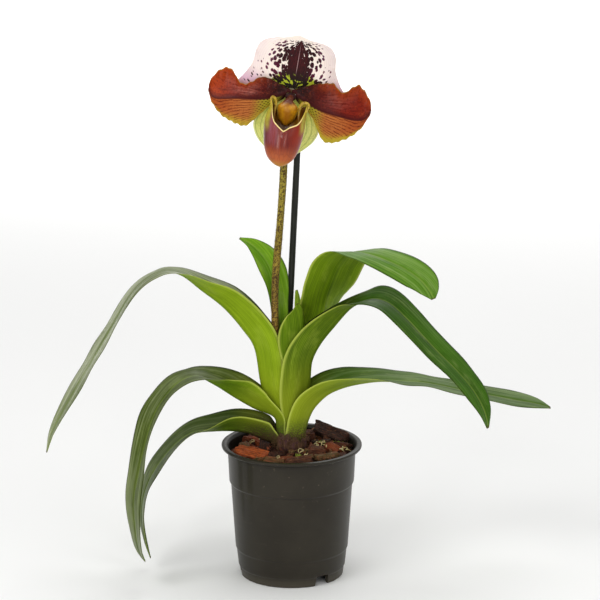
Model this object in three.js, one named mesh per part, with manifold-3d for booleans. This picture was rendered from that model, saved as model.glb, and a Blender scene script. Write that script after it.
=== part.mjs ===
// Slipper orchid (Paphiopedilum hybrid) in bloom, in its nursery pot.
// Millimetres, +Z up, +X to the plant's right seen from the flower's front, +Y behind the plant.
// The origin is the centre of the pot's underside.
import * as THREE from 'three';
import { mergeVertices } from 'three/addons/utils/BufferGeometryUtils.js';
import Module from 'manifold-3d';

const wasm = await Module();
wasm.setup();

// ---------- driving dimensions ----------
const GAP = 0.3;                      // clearance between neighbouring pieces
const BLADE = { rib: 1.3, margin: 0.8, keel: 0.5, rings: 2, steps: 2 };

const POT = {
  rimRadius: 60.3, rimTop: 116.5, rimDrop: 2.2, mouthRadius: 56.2,
  neckRadius: 55.1, neckHeight: 112, stepHeight: 83, stepDepth: 1.3,
  lowStepHeight: 24, footStepHeight: 8, footRadius: 44.4,
  wall: 1.2, floor: 1.6, recess: 9.5, bossRadius: 15, footWidth: 4.5,
  notches: 3, notchAngle: -54, notchWidth: 17, notchHeight: 12, notchTaper: 0.66,
  drains: 6, drainRadius: 4, drainCircle: 27, sides: 36,
};

const MIX = { floor: 11.7, level: 111, mound: 7, chips: 27, seed: 11, reach: 49 };
const CROWN = { centre: [-2, -3], radiusX: 9.3, radiusY: 8.7, top: 115.6, bottom: 84 };
const SHOOT = { centre: [4.5, 14.5], radius: 6 };
const ROOTS = 6;

const STAKE = { foot: [-10.9, 16.8, 34], top: [7, 13, 416], radius: 2.85, sides: 10 };
const SCAPE = {
  radius: 3.2, sides: 8,
  route: [
    [-3.2, -3.6, 116.1], [-5, -4, 138], [-7.4, -4, 156], [-10.8, -4, 183], [-13.7, -3, 213], [-14.2, -2, 244],
    [-13.3, -1, 270], [-10.1, 1, 306], [-7.7, 3.4, 339], [-6.4, 5.6, 362], [-5.2, 8.4, 384],
  ],
};
const OVARY = {
  route: [
    [-5.15, 8.5, 384.7], [-4, 11.2, 398], [-2.4, 11.4, 411],
    [-1.2, 6.5, 421.5], [-0.5, -3, 425.3], [-0.4, -15.8, 425.4],
  ],
  radii: [2.7, 3.5, 3.9, 3.8, 3.7, 3.4], ribs: 6, ribDepth: 0.35,
};
const FLOWER = { centre: [-0.4, -14, 426.4], roll: 8, droop: 2.5, sheet: 1.1 };

// Leaves. Each station along a leaf's keel: x, y, z, half width, the fold of each half at the keel and
// at the margin (degrees above flat), the bearing of the leaf seen from above, and its roll to the front.
const LEAVES = {
  leaf_a: [
    [-9.6, -3, 116, 12, -12, 90, 180, 0], [-10.8, -3, 135, 13, -8, 90, 180, 0],
    [-17, -3, 152, 17, 25, 90, 180, 0], [-25, -3.5, 169, 21, 46, 86, 180, 0],
    [-30.5, -4, 202, 22.5, 60, 86, 180, -3], [-40.5, -4, 219, 22.5, 66, 86, 180, -5],
    [-57, -5, 239, 22.5, 52, 62, 180, -7], [-76, -7, 255, 22, 30, 32, 182, -10],
    [-94, -10, 269.5, 21, 10, 6, 184, -8], [-112, -14, 272, 20.5, 1, -3, 186, -6],
    [-133, -19, 257, 18.5, 4, 0, 188, -3], [-156, -25, 219, 18.5, 8, 2, 189, 1],
    [-182, -30, 175, 17, 8, 2, 190, 3], [-202, -33, 138, 11, 10, 6, 190, 3],
    [-208.5, -34, 119, 1.6, 8, 8, 190, 3],
  ],
  leaf_b: [
    [-10.8, -3, 116, 14, -30, 90, 180, 0], [-12, -3, 132, 14.4, -24, 90, 180, 0],
    [-15, -3.5, 142, 15.6, -6, 88, 180, 0], [-31, -5, 149.5, 19.5, 48, 82, 184, 0],
    [-48, -8, 160.5, 21.2, 58, 74, 188, -1], [-65, -15, 173.8, 20, 34, 34, 193, 0],
    [-80, -22, 182.8, 18.8, 8, 6, 198, 0], [-94, -28.5, 180.2, 17.4, 10, 6, 202, 0],
    [-107, -35.5, 168.5, 16.8, 16, 12, 205, 0], [-116.5, -41.5, 153, 16.8, 20, 16, 206, 0],
    [-124, -46, 129, 16.4, 20, 16, 206, 0], [-129.4, -48.5, 105, 15.7, 14, 8, 205, 2],
    [-133.5, -49.5, 81, 15.5, 8, 2, 202, 4], [-132.5, -48.5, 54, 15.2, 8, 2, 195, 8],
    [-130, -46, 36, 12.4, 8, 4, 190, 8], [-125.5, -43, 24, 1.5, 8, 8, 190, 8],
  ],
  leaf_c: [
    [-12, -3, 117, 15, -22, 88, 180, 0], [-17, -3, 118.8, 18, 10, 86, 180, 0],
    [-25, -3, 121.5, 21.5, 38, 80, 180, 0], [-36, -3, 126.5, 21.5, 46, 62, 180, 0],
    [-50, -3, 129, 20.5, 48, 50, 180, -1], [-67, -2, 128.5, 19.5, 30, 26, 180, 4],
    [-84, -1, 126, 18.5, 18, 14, 180, 6], [-99, 0.5, 116, 18, 12, 6, 180, 10],
    [-113, 2, 99, 17.5, 10, 4, 180, 12], [-123, 3, 81, 17, 10, 2, 180, 12],
    [-128.5, 4, 62, 16, 10, 2, 180, 12], [-129, 5, 43, 13.5, 10, 2, 180, 12],
    [-126.5, 6, 24, 8.5, 10, 6, 180, 12], [-123, 6, 10, 1.5, 8, 8, 180, 12],
  ],
  leaf_d: [
    [-3.6, 1.4, 116, 4.4, 4, 8, 100, 0], [-4.4, 1.6, 140, 4.8, 4, 10, 100, 0],
    [-5.6, 2.2, 162, 5.4, 6, 12, 100, 0], [-7, 3.4, 185, 6, 8, 14, 100, 0],
    [-8.6, 5, 205, 6.6, 12, 18, 102, 0], [-10, 6.2, 222, 7.4, 18, 24, 106, 0],
    [-11.5, 8, 239, 9, 24, 30, 108, 0], [-13.5, 10, 252, 11.5, 26, 32, 110, 0],
    [-17.5, 13.5, 265.5, 13.4, 26, 28, 112, 0], [-24, 17, 277, 11.8, 22, 24, 112, 0],
    [-34, 20, 287, 6.8, 16, 18, 114, 0], [-44.5, 22, 292.5, 1.5, 12, 12, 118, 0],
  ],
  leaf_e: [
    [8.6, 10.8, 116, 8, 25, 60, -40, 0], [9.2, 11.4, 140, 10, 24, 54, -40, 0],
    [10.8, 13, 165, 13, 22, 45, -40, 0], [14.5, 15, 190, 16.4, 20, 34, -46, 0],
    [21, 14.4, 212, 20, 22, 32, -52, 0], [26.5, 10.6, 231, 22, 18, 22, -56, 0],
    [29, 7, 245, 22.4, 8, 8, -60, -2], [33.6, 1.5, 260, 24, 4, 2, -64, -5],
    [40, -6, 277, 24.6, 2, 0, -64, -7], [49.5, -15, 289.5, 22, 0, -2, -58, -6],
    [62, -25, 291, 19.4, 2, 0, -50, 1], [76.5, -34, 288.6, 19.2, 4, 0, -42, 7],
    [92.5, -44, 283.6, 19.4, 4, 0, -36, 12], [107, -51, 275.4, 17.6, 6, 2, -34, 15],
    [114.5, -56, 267.5, 12, 8, 6, -34, 14], [118.5, -59, 260.5, 2.4, 8, 8, -34, 12],
  ],
  leaf_f: [
    [8.9, -3, 116, 18, 22, 90, 0, 0], [10, -3, 135, 21, 30, 92, 0, 0],
    [12.5, -3.5, 155, 26, 38, 93, 0, 0], [15, -4.5, 174, 28, 42, 92, 0, 0],
    [16.8, -6, 192, 26.5, 44, 84, -3, 0], [24, -9, 208, 23, 50, 72, -8, -3],
    [36, -13.5, 225, 20, 46, 50, -12, -6], [49.5, -18.5, 242, 19, 24, 20, -18, -2],
    [60.5, -23.5, 249, 19, 14, 12, -22, 6], [71, -28.5, 252.5, 19.6, 11, 9, -25, 11],
    [83, -35.5, 250, 19.5, 8, 4, -26, 10], [96, -43, 240, 19, 8, 2, -27, 9],
    [109.8, -50, 226.5, 17.9, 8, 2, -27, 8], [123.6, -57, 213, 17.6, 8, 2, -27, 8],
    [138.2, -63, 199.5, 17.3, 8, 2, -26, 8], [152, -69.5, 184, 15, 8, 2, -26, 8],
    [161, -73.5, 167.5, 9.6, 8, 4, -26, 10], [164.5, -75, 153, 1.6, 8, 8, -26, 12],
  ],
  leaf_g: [
    [10.2, -3, 116, 21.5, 18, 90, 0, 0], [11.5, -3, 130, 21.5, 20, 90, 0, 0],
    [15.5, -3, 143, 22, 30, 84, 0, 0], [21, -3, 152, 22, 40, 74, 0, 0],
    [31, -3, 161.5, 22, 40, 54, 0, 0], [44, -3, 167.5, 22, 34, 38, 0, 0],
    [58, -3, 171, 21, 28, 25, 0, 0], [76, -2, 173, 20.5, 20, 14, 0, 0],
    [95, -1, 172, 20, 12, 6, 1, 1], [113, 0, 170.4, 17.8, 10, 4, 2, 2],
    [131, 1, 166.8, 17.4, 8, 4, 2, 3], [150, 2, 162, 17.6, 8, 4, 2, 5],
    [171, 3, 158, 17.6, 8, 4, 2, 6], [192, 4, 153.5, 17.5, 8, 4, 2, 6],
    [210, 5, 150, 11.5, 8, 4, 2, 6], [222.5, 6, 146, 1.6, 8, 8, 2, 6],
  ],
  leaf_h: [
    [-3.4, -8.1, 116, 3.4, 82, 90, 0, 0], [-2.2, -8.7, 140, 4.6, 82, 90, 0, 0],
    [3, -9.2, 160, 9, 82, 90, 0, 0], [8.4, -9.4, 183, 15, 84, 90, 0, 0],
    [10.5, -9.4, 205, 22, 83, 89, 0, 0], [10.5, -9.2, 222, 21, 80, 87, 0, 0],
    [9, -9, 236, 13, 78, 85, 0, 0], [6, -9, 243.5, 2.2, 75, 80, 0, 0],
  ],
  leaf_i: [
    [6.6, 16, 116, 3.2, 10, 30, -60, 0], [6.8, 16, 150, 3.6, 10, 30, -60, 0],
    [6.8, 15.8, 190, 4, 10, 30, -60, 0], [6.5, 15.6, 218, 4, 10, 30, -60, 0],
    [5.6, 14.6, 238, 3.2, 10, 26, -60, 0], [4.2, 13.6, 249, 1.2, 10, 20, -60, 0],
  ],
};
const LEAF_COLOURS = {
  leaf_a: 0x7c9a35, leaf_b: 0x5f8a34, leaf_c: 0x5b8730, leaf_d: 0x86b02e, leaf_e: 0x6f9a2b,
  leaf_f: 0x4f7c2c, leaf_g: 0x6f9636, leaf_h: 0x6f9a26, leaf_i: 0xa9c94a,
};

// ---------- small helpers ----------
const rad = THREE.MathUtils.degToRad;
const lerp = THREE.MathUtils.lerp;
const vec = (x, y, z) => new THREE.Vector3(x, y, z);

function randomFrom(seed) {
  let state = seed;
  return () => {
    state = (state * 1664525 + 1013904223) % 4294967296;
    return state / 4294967296;
  };
}

// A smooth row of numbers through a list of rows, at place t from 0 to 1.
function along(rows, t) {
  const last = rows.length - 1;
  const place = THREE.MathUtils.clamp(t, 0, 1) * last;
  const i = Math.min(Math.floor(place), last - 1);
  const f = place - i;
  const [p0, p1, p2, p3] = [rows[Math.max(i - 1, 0)], rows[i], rows[i + 1], rows[Math.min(i + 2, last)]];
  return p1.map((_, k) => {
    const a = 2 * p1[k];
    const b = p2[k] - p0[k];
    const c = 2 * p0[k] - 5 * p1[k] + 4 * p2[k] - p3[k];
    const d = 3 * p1[k] - p0[k] - 3 * p2[k] + p3[k];
    return (a + b * f + c * f * f + d * f * f * f) / 2;
  });
}

const curve = (values, t) => along(values.map((v) => [v]), t)[0];

function bare(geometry) {
  const plain = geometry.clone();
  plain.deleteAttribute('normal');
  plain.deleteAttribute('uv');
  return mergeVertices(plain, 1e-4);
}

function volumeOf(geometry) {
  const p = geometry.attributes.position;
  const index = geometry.index.array;
  const [a, b, c] = [vec(), vec(), vec()];
  let sum = 0;
  for (let i = 0; i < index.length; i += 3) {
    a.fromBufferAttribute(p, index[i]);
    b.fromBufferAttribute(p, index[i + 1]);
    c.fromBufferAttribute(p, index[i + 2]);
    sum += a.dot(b.cross(c));
  }
  return sum / 6;
}

function facingOut(geometry) {
  if (volumeOf(geometry) < 0) {
    const index = geometry.index.array;
    for (let i = 0; i < index.length; i += 3) [index[i], index[i + 1]] = [index[i + 1], index[i]];
  }
  return geometry;
}

function toSolid(geometry) {
  const g = facingOut(bare(geometry));
  const mesh = new wasm.Mesh({
    numProp: 3,
    vertProperties: new Float32Array(g.attributes.position.array),
    triVerts: new Uint32Array(g.index.array),
  });
  return new wasm.Manifold(mesh);
}

function toGeometry(solid) {
  const mesh = solid.getMesh();
  const g = new THREE.BufferGeometry();
  g.setAttribute('position', new THREE.BufferAttribute(new Float32Array(mesh.vertProperties), 3));
  g.setIndex(new THREE.BufferAttribute(new Uint32Array(mesh.triVerts), 1));
  return g;
}

function biggestPiece(solid) {
  return solid.decompose().sort((a, b) => b.volume() - a.volume())[0];
}

// A closed solid between two grids of points that match row by row. Both faces are split alike.
// With ring = true the rows close on themselves. Each end row is closed with a strip or a fan.
function between(front, back, ring = false) {
  const rows = front.length;
  const cols = front[0].length;
  const positions = [...front.flat(), ...back.flat()].flatMap((p) => [p.x, p.y, p.z]);
  const at = (side, i, j) => side * rows * cols + i * cols + (j % cols);
  const index = [];
  const quad = (a, b, c, d) => index.push(a, b, c, a, c, d);
  const spans = ring ? cols : cols - 1;
  for (let i = 0; i < rows - 1; i++) {
    for (let j = 0; j < spans; j++) {
      const corners = (s) => [at(s, i, j), at(s, i + 1, j), at(s, i + 1, j + 1), at(s, i, j + 1)];
      const [a, b, c, d] = corners(0);
      const [e, f, g, h] = corners(1);
      quad(a, b, c, d);
      index.push(e, g, f, e, h, g);
    }
  }
  for (let j = 0; j < spans; j++) {
    quad(at(0, 0, j), at(0, 0, j + 1), at(1, 0, j + 1), at(1, 0, j));
    quad(at(0, rows - 1, j + 1), at(0, rows - 1, j), at(1, rows - 1, j), at(1, rows - 1, j + 1));
  }
  if (!ring) {
    for (let i = 0; i < rows - 1; i++) {
      quad(at(0, i + 1, 0), at(0, i, 0), at(1, i, 0), at(1, i + 1, 0));
      quad(at(0, i, cols - 1), at(0, i + 1, cols - 1), at(1, i + 1, cols - 1), at(1, i, cols - 1));
    }
  }
  const g = new THREE.BufferGeometry();
  g.setAttribute('position', new THREE.Float32BufferAttribute(positions, 3));
  g.setIndex(index);
  return facingOut(mergeVertices(g, 1e-4));
}

// Normals of a grid of points, by the differences between its neighbours.
function gridNormals(grid, ring = false) {
  const rows = grid.length;
  const cols = grid[0].length;
  return grid.map((row, i) => row.map((_, j) => {
    const up = grid[Math.min(i + 1, rows - 1)][j].clone().sub(grid[Math.max(i - 1, 0)][j]);
    const next = ring ? (j + 1) % cols : Math.min(j + 1, cols - 1);
    const last = ring ? (j + cols - 1) % cols : Math.max(j - 1, 0);
    return up.cross(grid[i][next].clone().sub(grid[i][last])).normalize();
  }));
}

// A sheet of even thickness round a grid of points.
function sheet(grid, thickness) {
  const normals = gridNormals(grid);
  const moved = (p, normal, reach) => p.clone().addScaledVector(normal, reach);
  const side = (reach) => grid.map((row, i) => row.map((p, j) => moved(p, normals[i][j], reach)));
  return between(side(thickness / 2), side(-thickness / 2));
}

// A round limb through a list of points, with a radius at each, closed at both ends.
function limb(points, radii, sides = 8, steps = 4, shape = () => 1) {
  const path = new THREE.CatmullRomCurve3(points.map((p) => vec(...p)));
  const rings = (points.length - 1) * steps;
  const frames = path.computeFrenetFrames(rings);
  const positions = [];
  const index = [];
  for (let i = 0; i <= rings; i++) {
    const centre = path.getPointAt(i / rings);
    for (let j = 0; j < sides; j++) {
      const angle = 2 * Math.PI * j / sides;
      const reach = curve(radii, i / rings) * shape(angle);
      const p = centre.clone().addScaledVector(frames.normals[i], reach * Math.cos(angle));
      p.addScaledVector(frames.binormals[i], reach * Math.sin(angle));
      positions.push(p.x, p.y, p.z);
    }
  }
  for (let i = 0; i < rings; i++) {
    for (let j = 0; j < sides; j++) {
      const [a, b] = [i * sides + j, i * sides + (j + 1) % sides];
      index.push(a, b, b + sides, a, b + sides, a + sides);
    }
  }
  for (const [end, turn] of [[0, 1], [rings, -1]]) {
    for (let j = 1; j < sides - 1; j++) {
      const fan = [end * sides, end * sides + j + 1, end * sides + j];
      index.push(...(turn > 0 ? fan : fan.reverse()));
    }
  }
  const g = new THREE.BufferGeometry();
  g.setAttribute('position', new THREE.Float32BufferAttribute(positions, 3));
  g.setIndex(index);
  return facingOut(g);
}

function lathe(profile, sides) {
  const g = new THREE.LatheGeometry(profile.map(([r, z]) => new THREE.Vector2(r, z)), sides);
  g.rotateX(Math.PI / 2);
  return bare(g);
}

function cylinder(radius, low, high, sides, x = 0, y = 0) {
  const g = new THREE.CylinderGeometry(radius, radius, high - low, sides);
  g.rotateX(Math.PI / 2);
  g.translate(x, y, (low + high) / 2);
  return g;
}

// ---------- pot ----------
function potProfile() {
  const step = POT.stepDepth;
  const outerAt = (z) => lerp(POT.footRadius, POT.neckRadius + step, z / POT.neckHeight);
  const outer = [
    [POT.footRadius, 0], [outerAt(POT.footStepHeight), POT.footStepHeight - 0.6],
    [outerAt(POT.footStepHeight) + 0.9, POT.footStepHeight + 0.6],
    [outerAt(POT.lowStepHeight) + 0.7, POT.lowStepHeight - 0.8],
    [outerAt(POT.lowStepHeight) + 1.6, POT.lowStepHeight + 0.8],
    [outerAt(POT.stepHeight) - 0.9, POT.stepHeight - 0.8],
    [outerAt(POT.stepHeight) + 0.5, POT.stepHeight + 0.8],
    [POT.neckRadius, POT.neckHeight], [POT.rimRadius - 1.2, POT.rimTop - POT.rimDrop - 0.8],
    [POT.rimRadius, POT.rimTop - POT.rimDrop], [POT.rimRadius, POT.rimTop],
  ];
  const inner = [
    [POT.mouthRadius, POT.rimTop], [POT.neckRadius - POT.wall + 0.4, POT.rimTop - 2.2],
    [POT.neckRadius - POT.wall, POT.neckHeight], [outerAt(POT.stepHeight) - POT.wall - 0.9, POT.stepHeight],
    [POT.footRadius + 1.6 - POT.wall, POT.recess + POT.floor],
    [POT.bossRadius + 2, POT.recess + POT.floor], [POT.bossRadius, POT.floor], [0, POT.floor],
  ];
  const underside = [
    [0, 0], [POT.bossRadius, 0], [POT.bossRadius + 2, POT.recess],
    [POT.footRadius - POT.footWidth, POT.recess], [POT.footRadius - POT.footWidth + 1, 0],
  ];
  return [...underside, ...outer, ...inner];
}

function makePot() {
  let pot = toSolid(lathe(potProfile(), POT.sides));
  for (let i = 0; i < POT.notches; i++) {
    const notch = new THREE.BoxGeometry(POT.footWidth * 4, POT.notchWidth, POT.notchHeight * 2);
    const p = notch.attributes.position;
    for (let k = 0; k < p.count; k++) {
      if (p.getZ(k) > 0) p.setY(k, p.getY(k) * POT.notchTaper);
    }
    notch.translate(POT.footRadius + 3, 0, -POT.notchHeight + POT.recess - 0.4);
    notch.rotateZ(rad(POT.notchAngle + i * 360 / POT.notches));
    pot = pot.subtract(toSolid(notch));
  }
  for (let i = 0; i < POT.drains; i++) {
    const turn = rad(30 + i * 360 / POT.drains);
    const [x, y] = [POT.drainCircle * Math.cos(turn), POT.drainCircle * Math.sin(turn)];
    pot = pot.subtract(toSolid(cylinder(POT.drainRadius, POT.recess - 3, POT.recess + 5, 10, x, y)));
  }
  return pot;
}

// ---------- leaves ----------
// One ring of a leaf: points across the blade from the near margin to the far one.
function leafRing(station, tangent, grow, upper) {
  const [x, y, z, width, foldKeel, foldMargin, bearing, roll] = station;
  const turn = rad(bearing);
  const right = Math.cos(turn) >= 0;
  const level = right ? vec(-Math.sin(turn), Math.cos(turn), 0) : vec(Math.sin(turn), -Math.cos(turn), 0);
  const side = level.addScaledVector(tangent, -level.dot(tangent)).normalize();
  const up = right ? tangent.clone().cross(side) : side.clone().cross(tangent);
  const lift = up.clone().multiplyScalar(Math.cos(rad(roll))).addScaledVector(side, -Math.sin(rad(roll)));
  const across = side.clone().multiplyScalar(Math.cos(rad(roll))).addScaledVector(up, Math.sin(rad(roll)));
  const half = (sign) => {
    const points = [];
    const spot = vec(x, y, z);
    const length = (width + grow) / BLADE.steps;
    for (let k = 0; k <= BLADE.steps; k++) {
      const part = k / BLADE.steps;
      const fold = rad(lerp(foldKeel, foldMargin, part));
      const outward = across.clone().multiplyScalar(sign * Math.sin(fold)).negate();
      const normal = outward.addScaledVector(lift, Math.cos(fold));
      if (k === 0) normal.copy(lift);
      const thin = Math.min(1, width / 8);
      const mitre = k === 0 ? 1 / Math.max(0.25, Math.cos(fold)) : 1;
      const thick = lerp(BLADE.rib, BLADE.margin, part) * lerp(0.75, 1, thin) / 2 + grow * mitre;
      const keel = k === 0 && !upper ? BLADE.keel * thin : 0;
      points.push(spot.clone().addScaledVector(normal, upper ? thick : -thick - keel));
      const next = rad(lerp(foldKeel, foldMargin, (k + 0.5) / BLADE.steps));
      spot.addScaledVector(across, sign * length * Math.cos(next));
      spot.addScaledVector(lift, length * Math.sin(next));
    }
    return points;
  };
  return [...half(-1).slice(1).reverse(), ...half(1)];
}

function makeLeaf(name, grow = 0) {
  const stations = LEAVES[name];
  const rings = (stations.length - 1) * BLADE.rings;
  const place = (t) => vec(...along(stations, t).slice(0, 3));
  const grids = [true, false].map((upper) => {
    const grid = [];
    for (let i = 0; i <= rings; i++) {
      const t = i / rings;
      const tangent = place(Math.min(1, t + 0.004)).sub(place(Math.max(0, t - 0.004))).normalize();
      const past = i === 0 ? -grow : i === rings ? grow : 0;
      const ring = leafRing(along(stations, t), tangent, grow, upper);
      grid.push(ring.map((p) => p.addScaledVector(tangent, past)));
    }
    return grid;
  });
  return toSolid(between(grids[0], grids[1]));
}

// Each leaf gives way to the ones it clasps, listed from the heart of the fan outwards.
const CLASPED = {
  leaf_h: [],
  leaf_d: [],
  leaf_a: ['leaf_h', 'leaf_d'],
  leaf_f: ['leaf_h', 'leaf_d', 'leaf_a'],
  leaf_b: ['leaf_a', 'leaf_f', 'leaf_h', 'leaf_d'],
  leaf_g: ['leaf_f', 'leaf_a', 'leaf_b', 'leaf_h'],
  leaf_c: ['leaf_b', 'leaf_a', 'leaf_g', 'leaf_f'],
  leaf_e: ['leaf_f', 'leaf_g', 'leaf_d', 'leaf_i'],
  leaf_i: [],
};

function fittedLeaf(name) {
  let leaf = makeLeaf(name);
  for (const inner of CLASPED[name]) leaf = leaf.subtract(makeLeaf(inner, GAP * 1.2));
  return biggestPiece(leaf).simplify(0.01);
}

// ---------- flower, in its own upright frame: x right, z up, -y to the front ----------
// Half width and centre height of a petal at each distance out from the column.
const PETAL = {
  out: [0.4, 3.4, 5.2, 10, 16, 22, 28, 34, 40, 45, 50, 55, 60, 64, 67, 68.6],
  left: {
    top: [3.2, 4.4, 5, 6.6, 9, 10.2, 9.2, 5.2, 2.9, 5.2, 11.4, 13, 11, 7.7, 3.4, -2],
    mid: [1.6, 1.2, -0.8, -3.4, -5.8, -7.2, -8.2, -8.8, -9.4, -10, -11, -12, -12.8, -12.2, -9, -5],
    low: [
      0.6, 0.5, -4.6, -8.4, -12.4, -19.4, -27.2, -33.2, -32.8, -31.4, -29.4, -26.8, -22.2, -17.4, -11.6, -8,
    ],
  },
  right: {
    top: [3.2, 4.6, 5.4, 7.6, 10.2, 11.7, 13, 14, 9.2, 9, 13.2, 15.4, 12, 8, 3.4, -2],
    mid: [1.6, 1.2, -0.8, -3.6, -5.9, -8, -9.7, -10.6, -11.3, -11.8, -12.5, -12.8, -12.4, -11, -7.4, -4],
    low: [0.6, 0.5, -4.6, -8.4, -12, -18, -28, -35.8, -36.2, -34.8, -32, -28.6, -23.6, -17.6, -10.5, -6],
  },
};

function makePetal(sign) {
  const shape = sign < 0 ? PETAL.left : PETAL.right;
  const grid = PETAL.out.map((x, i) => {
    const row = [];
    const part = x / 68.6;
    const wide = Math.sin(Math.PI * Math.min(1, x / 62) * 0.5);
    for (let k = -3; k <= 3; k++) {
      const v = k / 3;
      const edge = v > 0 ? shape.top[i] : shape.low[i];
      const z = lerp(shape.mid[i], edge, Math.abs(v));
      const back = 0.26 * Math.abs(z - shape.mid[i]);
      const wave = v > 0.4 ? -4.2 * (v - 0.4) * Math.cos((x - 40) / 15 * Math.PI) * wide : 0;
      const sweep = -3.5 * Math.sin(Math.PI * part) + 3 * part ** 2 - 0.9 * Math.max(0, 1 - x / 12);
      row.push(vec(sign * x, -2 + sweep + back + wave, z));
    }
    return row;
  });
  return sheet(grid, FLOWER.sheet);
}

// Height and half width of each row of the hooded sepal, and how far its flanks fall below the row.
const DORSAL = {
  height: [3.6, 5.4, 8, 12, 17, 23, 29, 35, 41, 45.6, 48.4],
  width: [3.4, 20, 38, 46, 40.5, 35.5, 34.2, 33.6, 31, 26, 15],
  drop: [11, 11, 10.8, 10, 8.4, 5.2, 3.8, 3.4, 3.2, 3.2, 3.2],
};

function makeDorsal() {
  const grid = DORSAL.height.map((h, i) => {
    const row = [];
    for (let k = -6; k <= 6; k++) {
      const v = k / 6;
      const x = DORSAL.width[i] * v;
      const rise = h / 48.4;
      const crest = 2.2 * rise ** 4 * (1 - Math.abs(v)) ** 2 - 2 * rise ** 3 * Math.abs(v) ** 1.6;
      const fall = DORSAL.drop[i] * (Math.abs(x) / 40) ** 1.3;
      const flank = Math.max(0, Math.abs(v) - 0.62);
      const hood = -9 * rise ** 2;
      const lobes = 1.5 * Math.sin(Math.PI * 3 * v) * rise;
      row.push(vec(x, 3.6 + 0.1 * Math.abs(x) + hood + 34 * flank ** 1.6 + lobes * flank, h + crest - fall));
    }
    return row;
  });
  return sheet(grid, FLOWER.sheet);
}

function makeSynsepal() {
  const heights = [-5.2, -6.4, -10, -17, -25, -33, -41, -48, -53.4, -56];
  const widths = [3.2, 9, 16, 22.5, 26.5, 27.5, 24, 17.5, 10, 2.4];
  const grid = heights.map((h, i) => {
    const row = [];
    for (let k = -4; k <= 4; k++) {
      const v = k / 4;
      const cup = -2.6 * v * v * Math.min(1, widths[i] / 20);
      row.push(vec(widths[i] * v, 4.2 + cup + 5 * Math.sin(Math.PI * h / -70), h));
    }
    return row;
  });
  return sheet(grid, FLOWER.sheet);
}

// The slipper: rings from the toe up to a mouth whose edge is low in front and high at the side lobes.
const LIP = {
  toe: -57.5, crest: -8, wall: 1.2, shift: 2, around: 24,
  level: [0, 0.04, 0.14, 0.3, 0.5, 0.68, 0.84, 1],
  side: [0.6, 5.4, 11, 14.6, 16.4, 17, 16.6, 15.6],
  depth: [0.5, 4, 8.5, 11.5, 13, 13, 12, 11],
  forward: [-27, -26.4, -24.6, -22, -19, -16.6, -15, -14],
  // Height of the mouth's edge at each angle from the front, with the notch near the middle.
  edge: [
    [-180, -6.2], [-165, -6.2], [-120, -4.8], [-90, -3.8], [-67, -6.8], [-49, -12.1],
    [-40, -18.8], [-2, -26.3], [8, -24.2], [15, -22.6], [30, -21], [44, -19.8],
    [60, -13.2], [72, -9.5], [90, -6.2], [120, -6.4], [165, -6.2], [180, -6.2],
  ],
};

// A value between rows of [place, value].
function alongRows(rows, place) {
  let i = 0;
  while (i < rows.length - 2 && place > rows[i + 1][0]) i++;
  const [[a, from], [b, to]] = [rows[i], rows[i + 1]];
  return lerp(from, to, (place - a) / (b - a));
}

function makeLip() {
  const byLevel = (values, q) => alongRows(LIP.level.map((level, i) => [level, values[i]]), q);
  const shellGrid = (inset) => LIP.level.map((level) => {
    const row = [];
    for (let k = 0; k < LIP.around; k++) {
      const angle = -180 + 360 * k / LIP.around;
      const z = lerp(LIP.toe + inset, alongRows(LIP.edge, angle), level);
      const q = (z - LIP.toe - inset) / (LIP.crest - LIP.toe);
      const sine = Math.sin(rad(angle));
      const fold = 1 + (sine < 0 ? -0.1 : 0.08) * THREE.MathUtils.smoothstep(q, 0.7, 1) * sine ** 2;
      const a = Math.max(0.3, (byLevel(LIP.side, q) - inset) * fold);
      const b = Math.max(0.3, byLevel(LIP.depth, q) - inset);
      const y = byLevel(LIP.forward, q) - b * Math.cos(rad(angle));
      row.push(vec(a * sine - LIP.shift, y, z));
    }
    return row;
  });
  const outer = shellGrid(0);
  const inner = shellGrid(LIP.wall);
  const cols = LIP.around;
  const rows = LIP.level.length;
  const positions = [...outer.flat(), ...inner.flat()].flatMap((p) => [p.x, p.y, p.z]);
  const index = [];
  for (let i = 0; i < rows - 1; i++) {
    for (let j = 0; j < cols; j++) {
      const [a, b] = [i * cols + j, i * cols + (j + 1) % cols];
      index.push(a, b, b + cols, a, b + cols, a + cols);
      const s = rows * cols;
      index.push(s + a, s + b + cols, s + b, s + a, s + a + cols, s + b + cols);
    }
  }
  for (let j = 0; j < cols; j++) {
    const s = rows * cols;
    const top = (rows - 1) * cols;
    const [a, b] = [top + j, top + (j + 1) % cols];
    index.push(a, b, s + b, a, s + b, s + a);
  }
  for (let j = 1; j < cols - 1; j++) {
    const s = rows * cols;
    index.push(0, j + 1, j, s, s + j, s + j + 1);
  }
  const g = new THREE.BufferGeometry();
  g.setAttribute('position', new THREE.Float32BufferAttribute(positions, 3));
  g.setIndex(index);
  return facingOut(g);
}

function makeColumn() {
  const neck = limb([[0, -2.9, -2.5], [0, -8, -4], [0, -11.4, -8]], [2.5, 2.7, 2.4], 8, 1);
  const heights = [-3, -6, -9, -13, -18, -22, -24.8];
  const widths = [1.6, 4.8, 7.8, 8.6, 7.6, 5, 1.6];
  const grid = heights.map((h, i) => {
    const row = [];
    for (let k = -3; k <= 3; k++) {
      const v = k / 3;
      row.push(vec(widths[i] * v - 1.2, -11.4 + 2.4 * v * v - 1.6 * Math.sin(Math.PI * i / 6), h));
    }
    return row;
  });
  return toGeometry(toSolid(neck).add(toSolid(sheet(grid, 1.6))));
}

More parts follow.
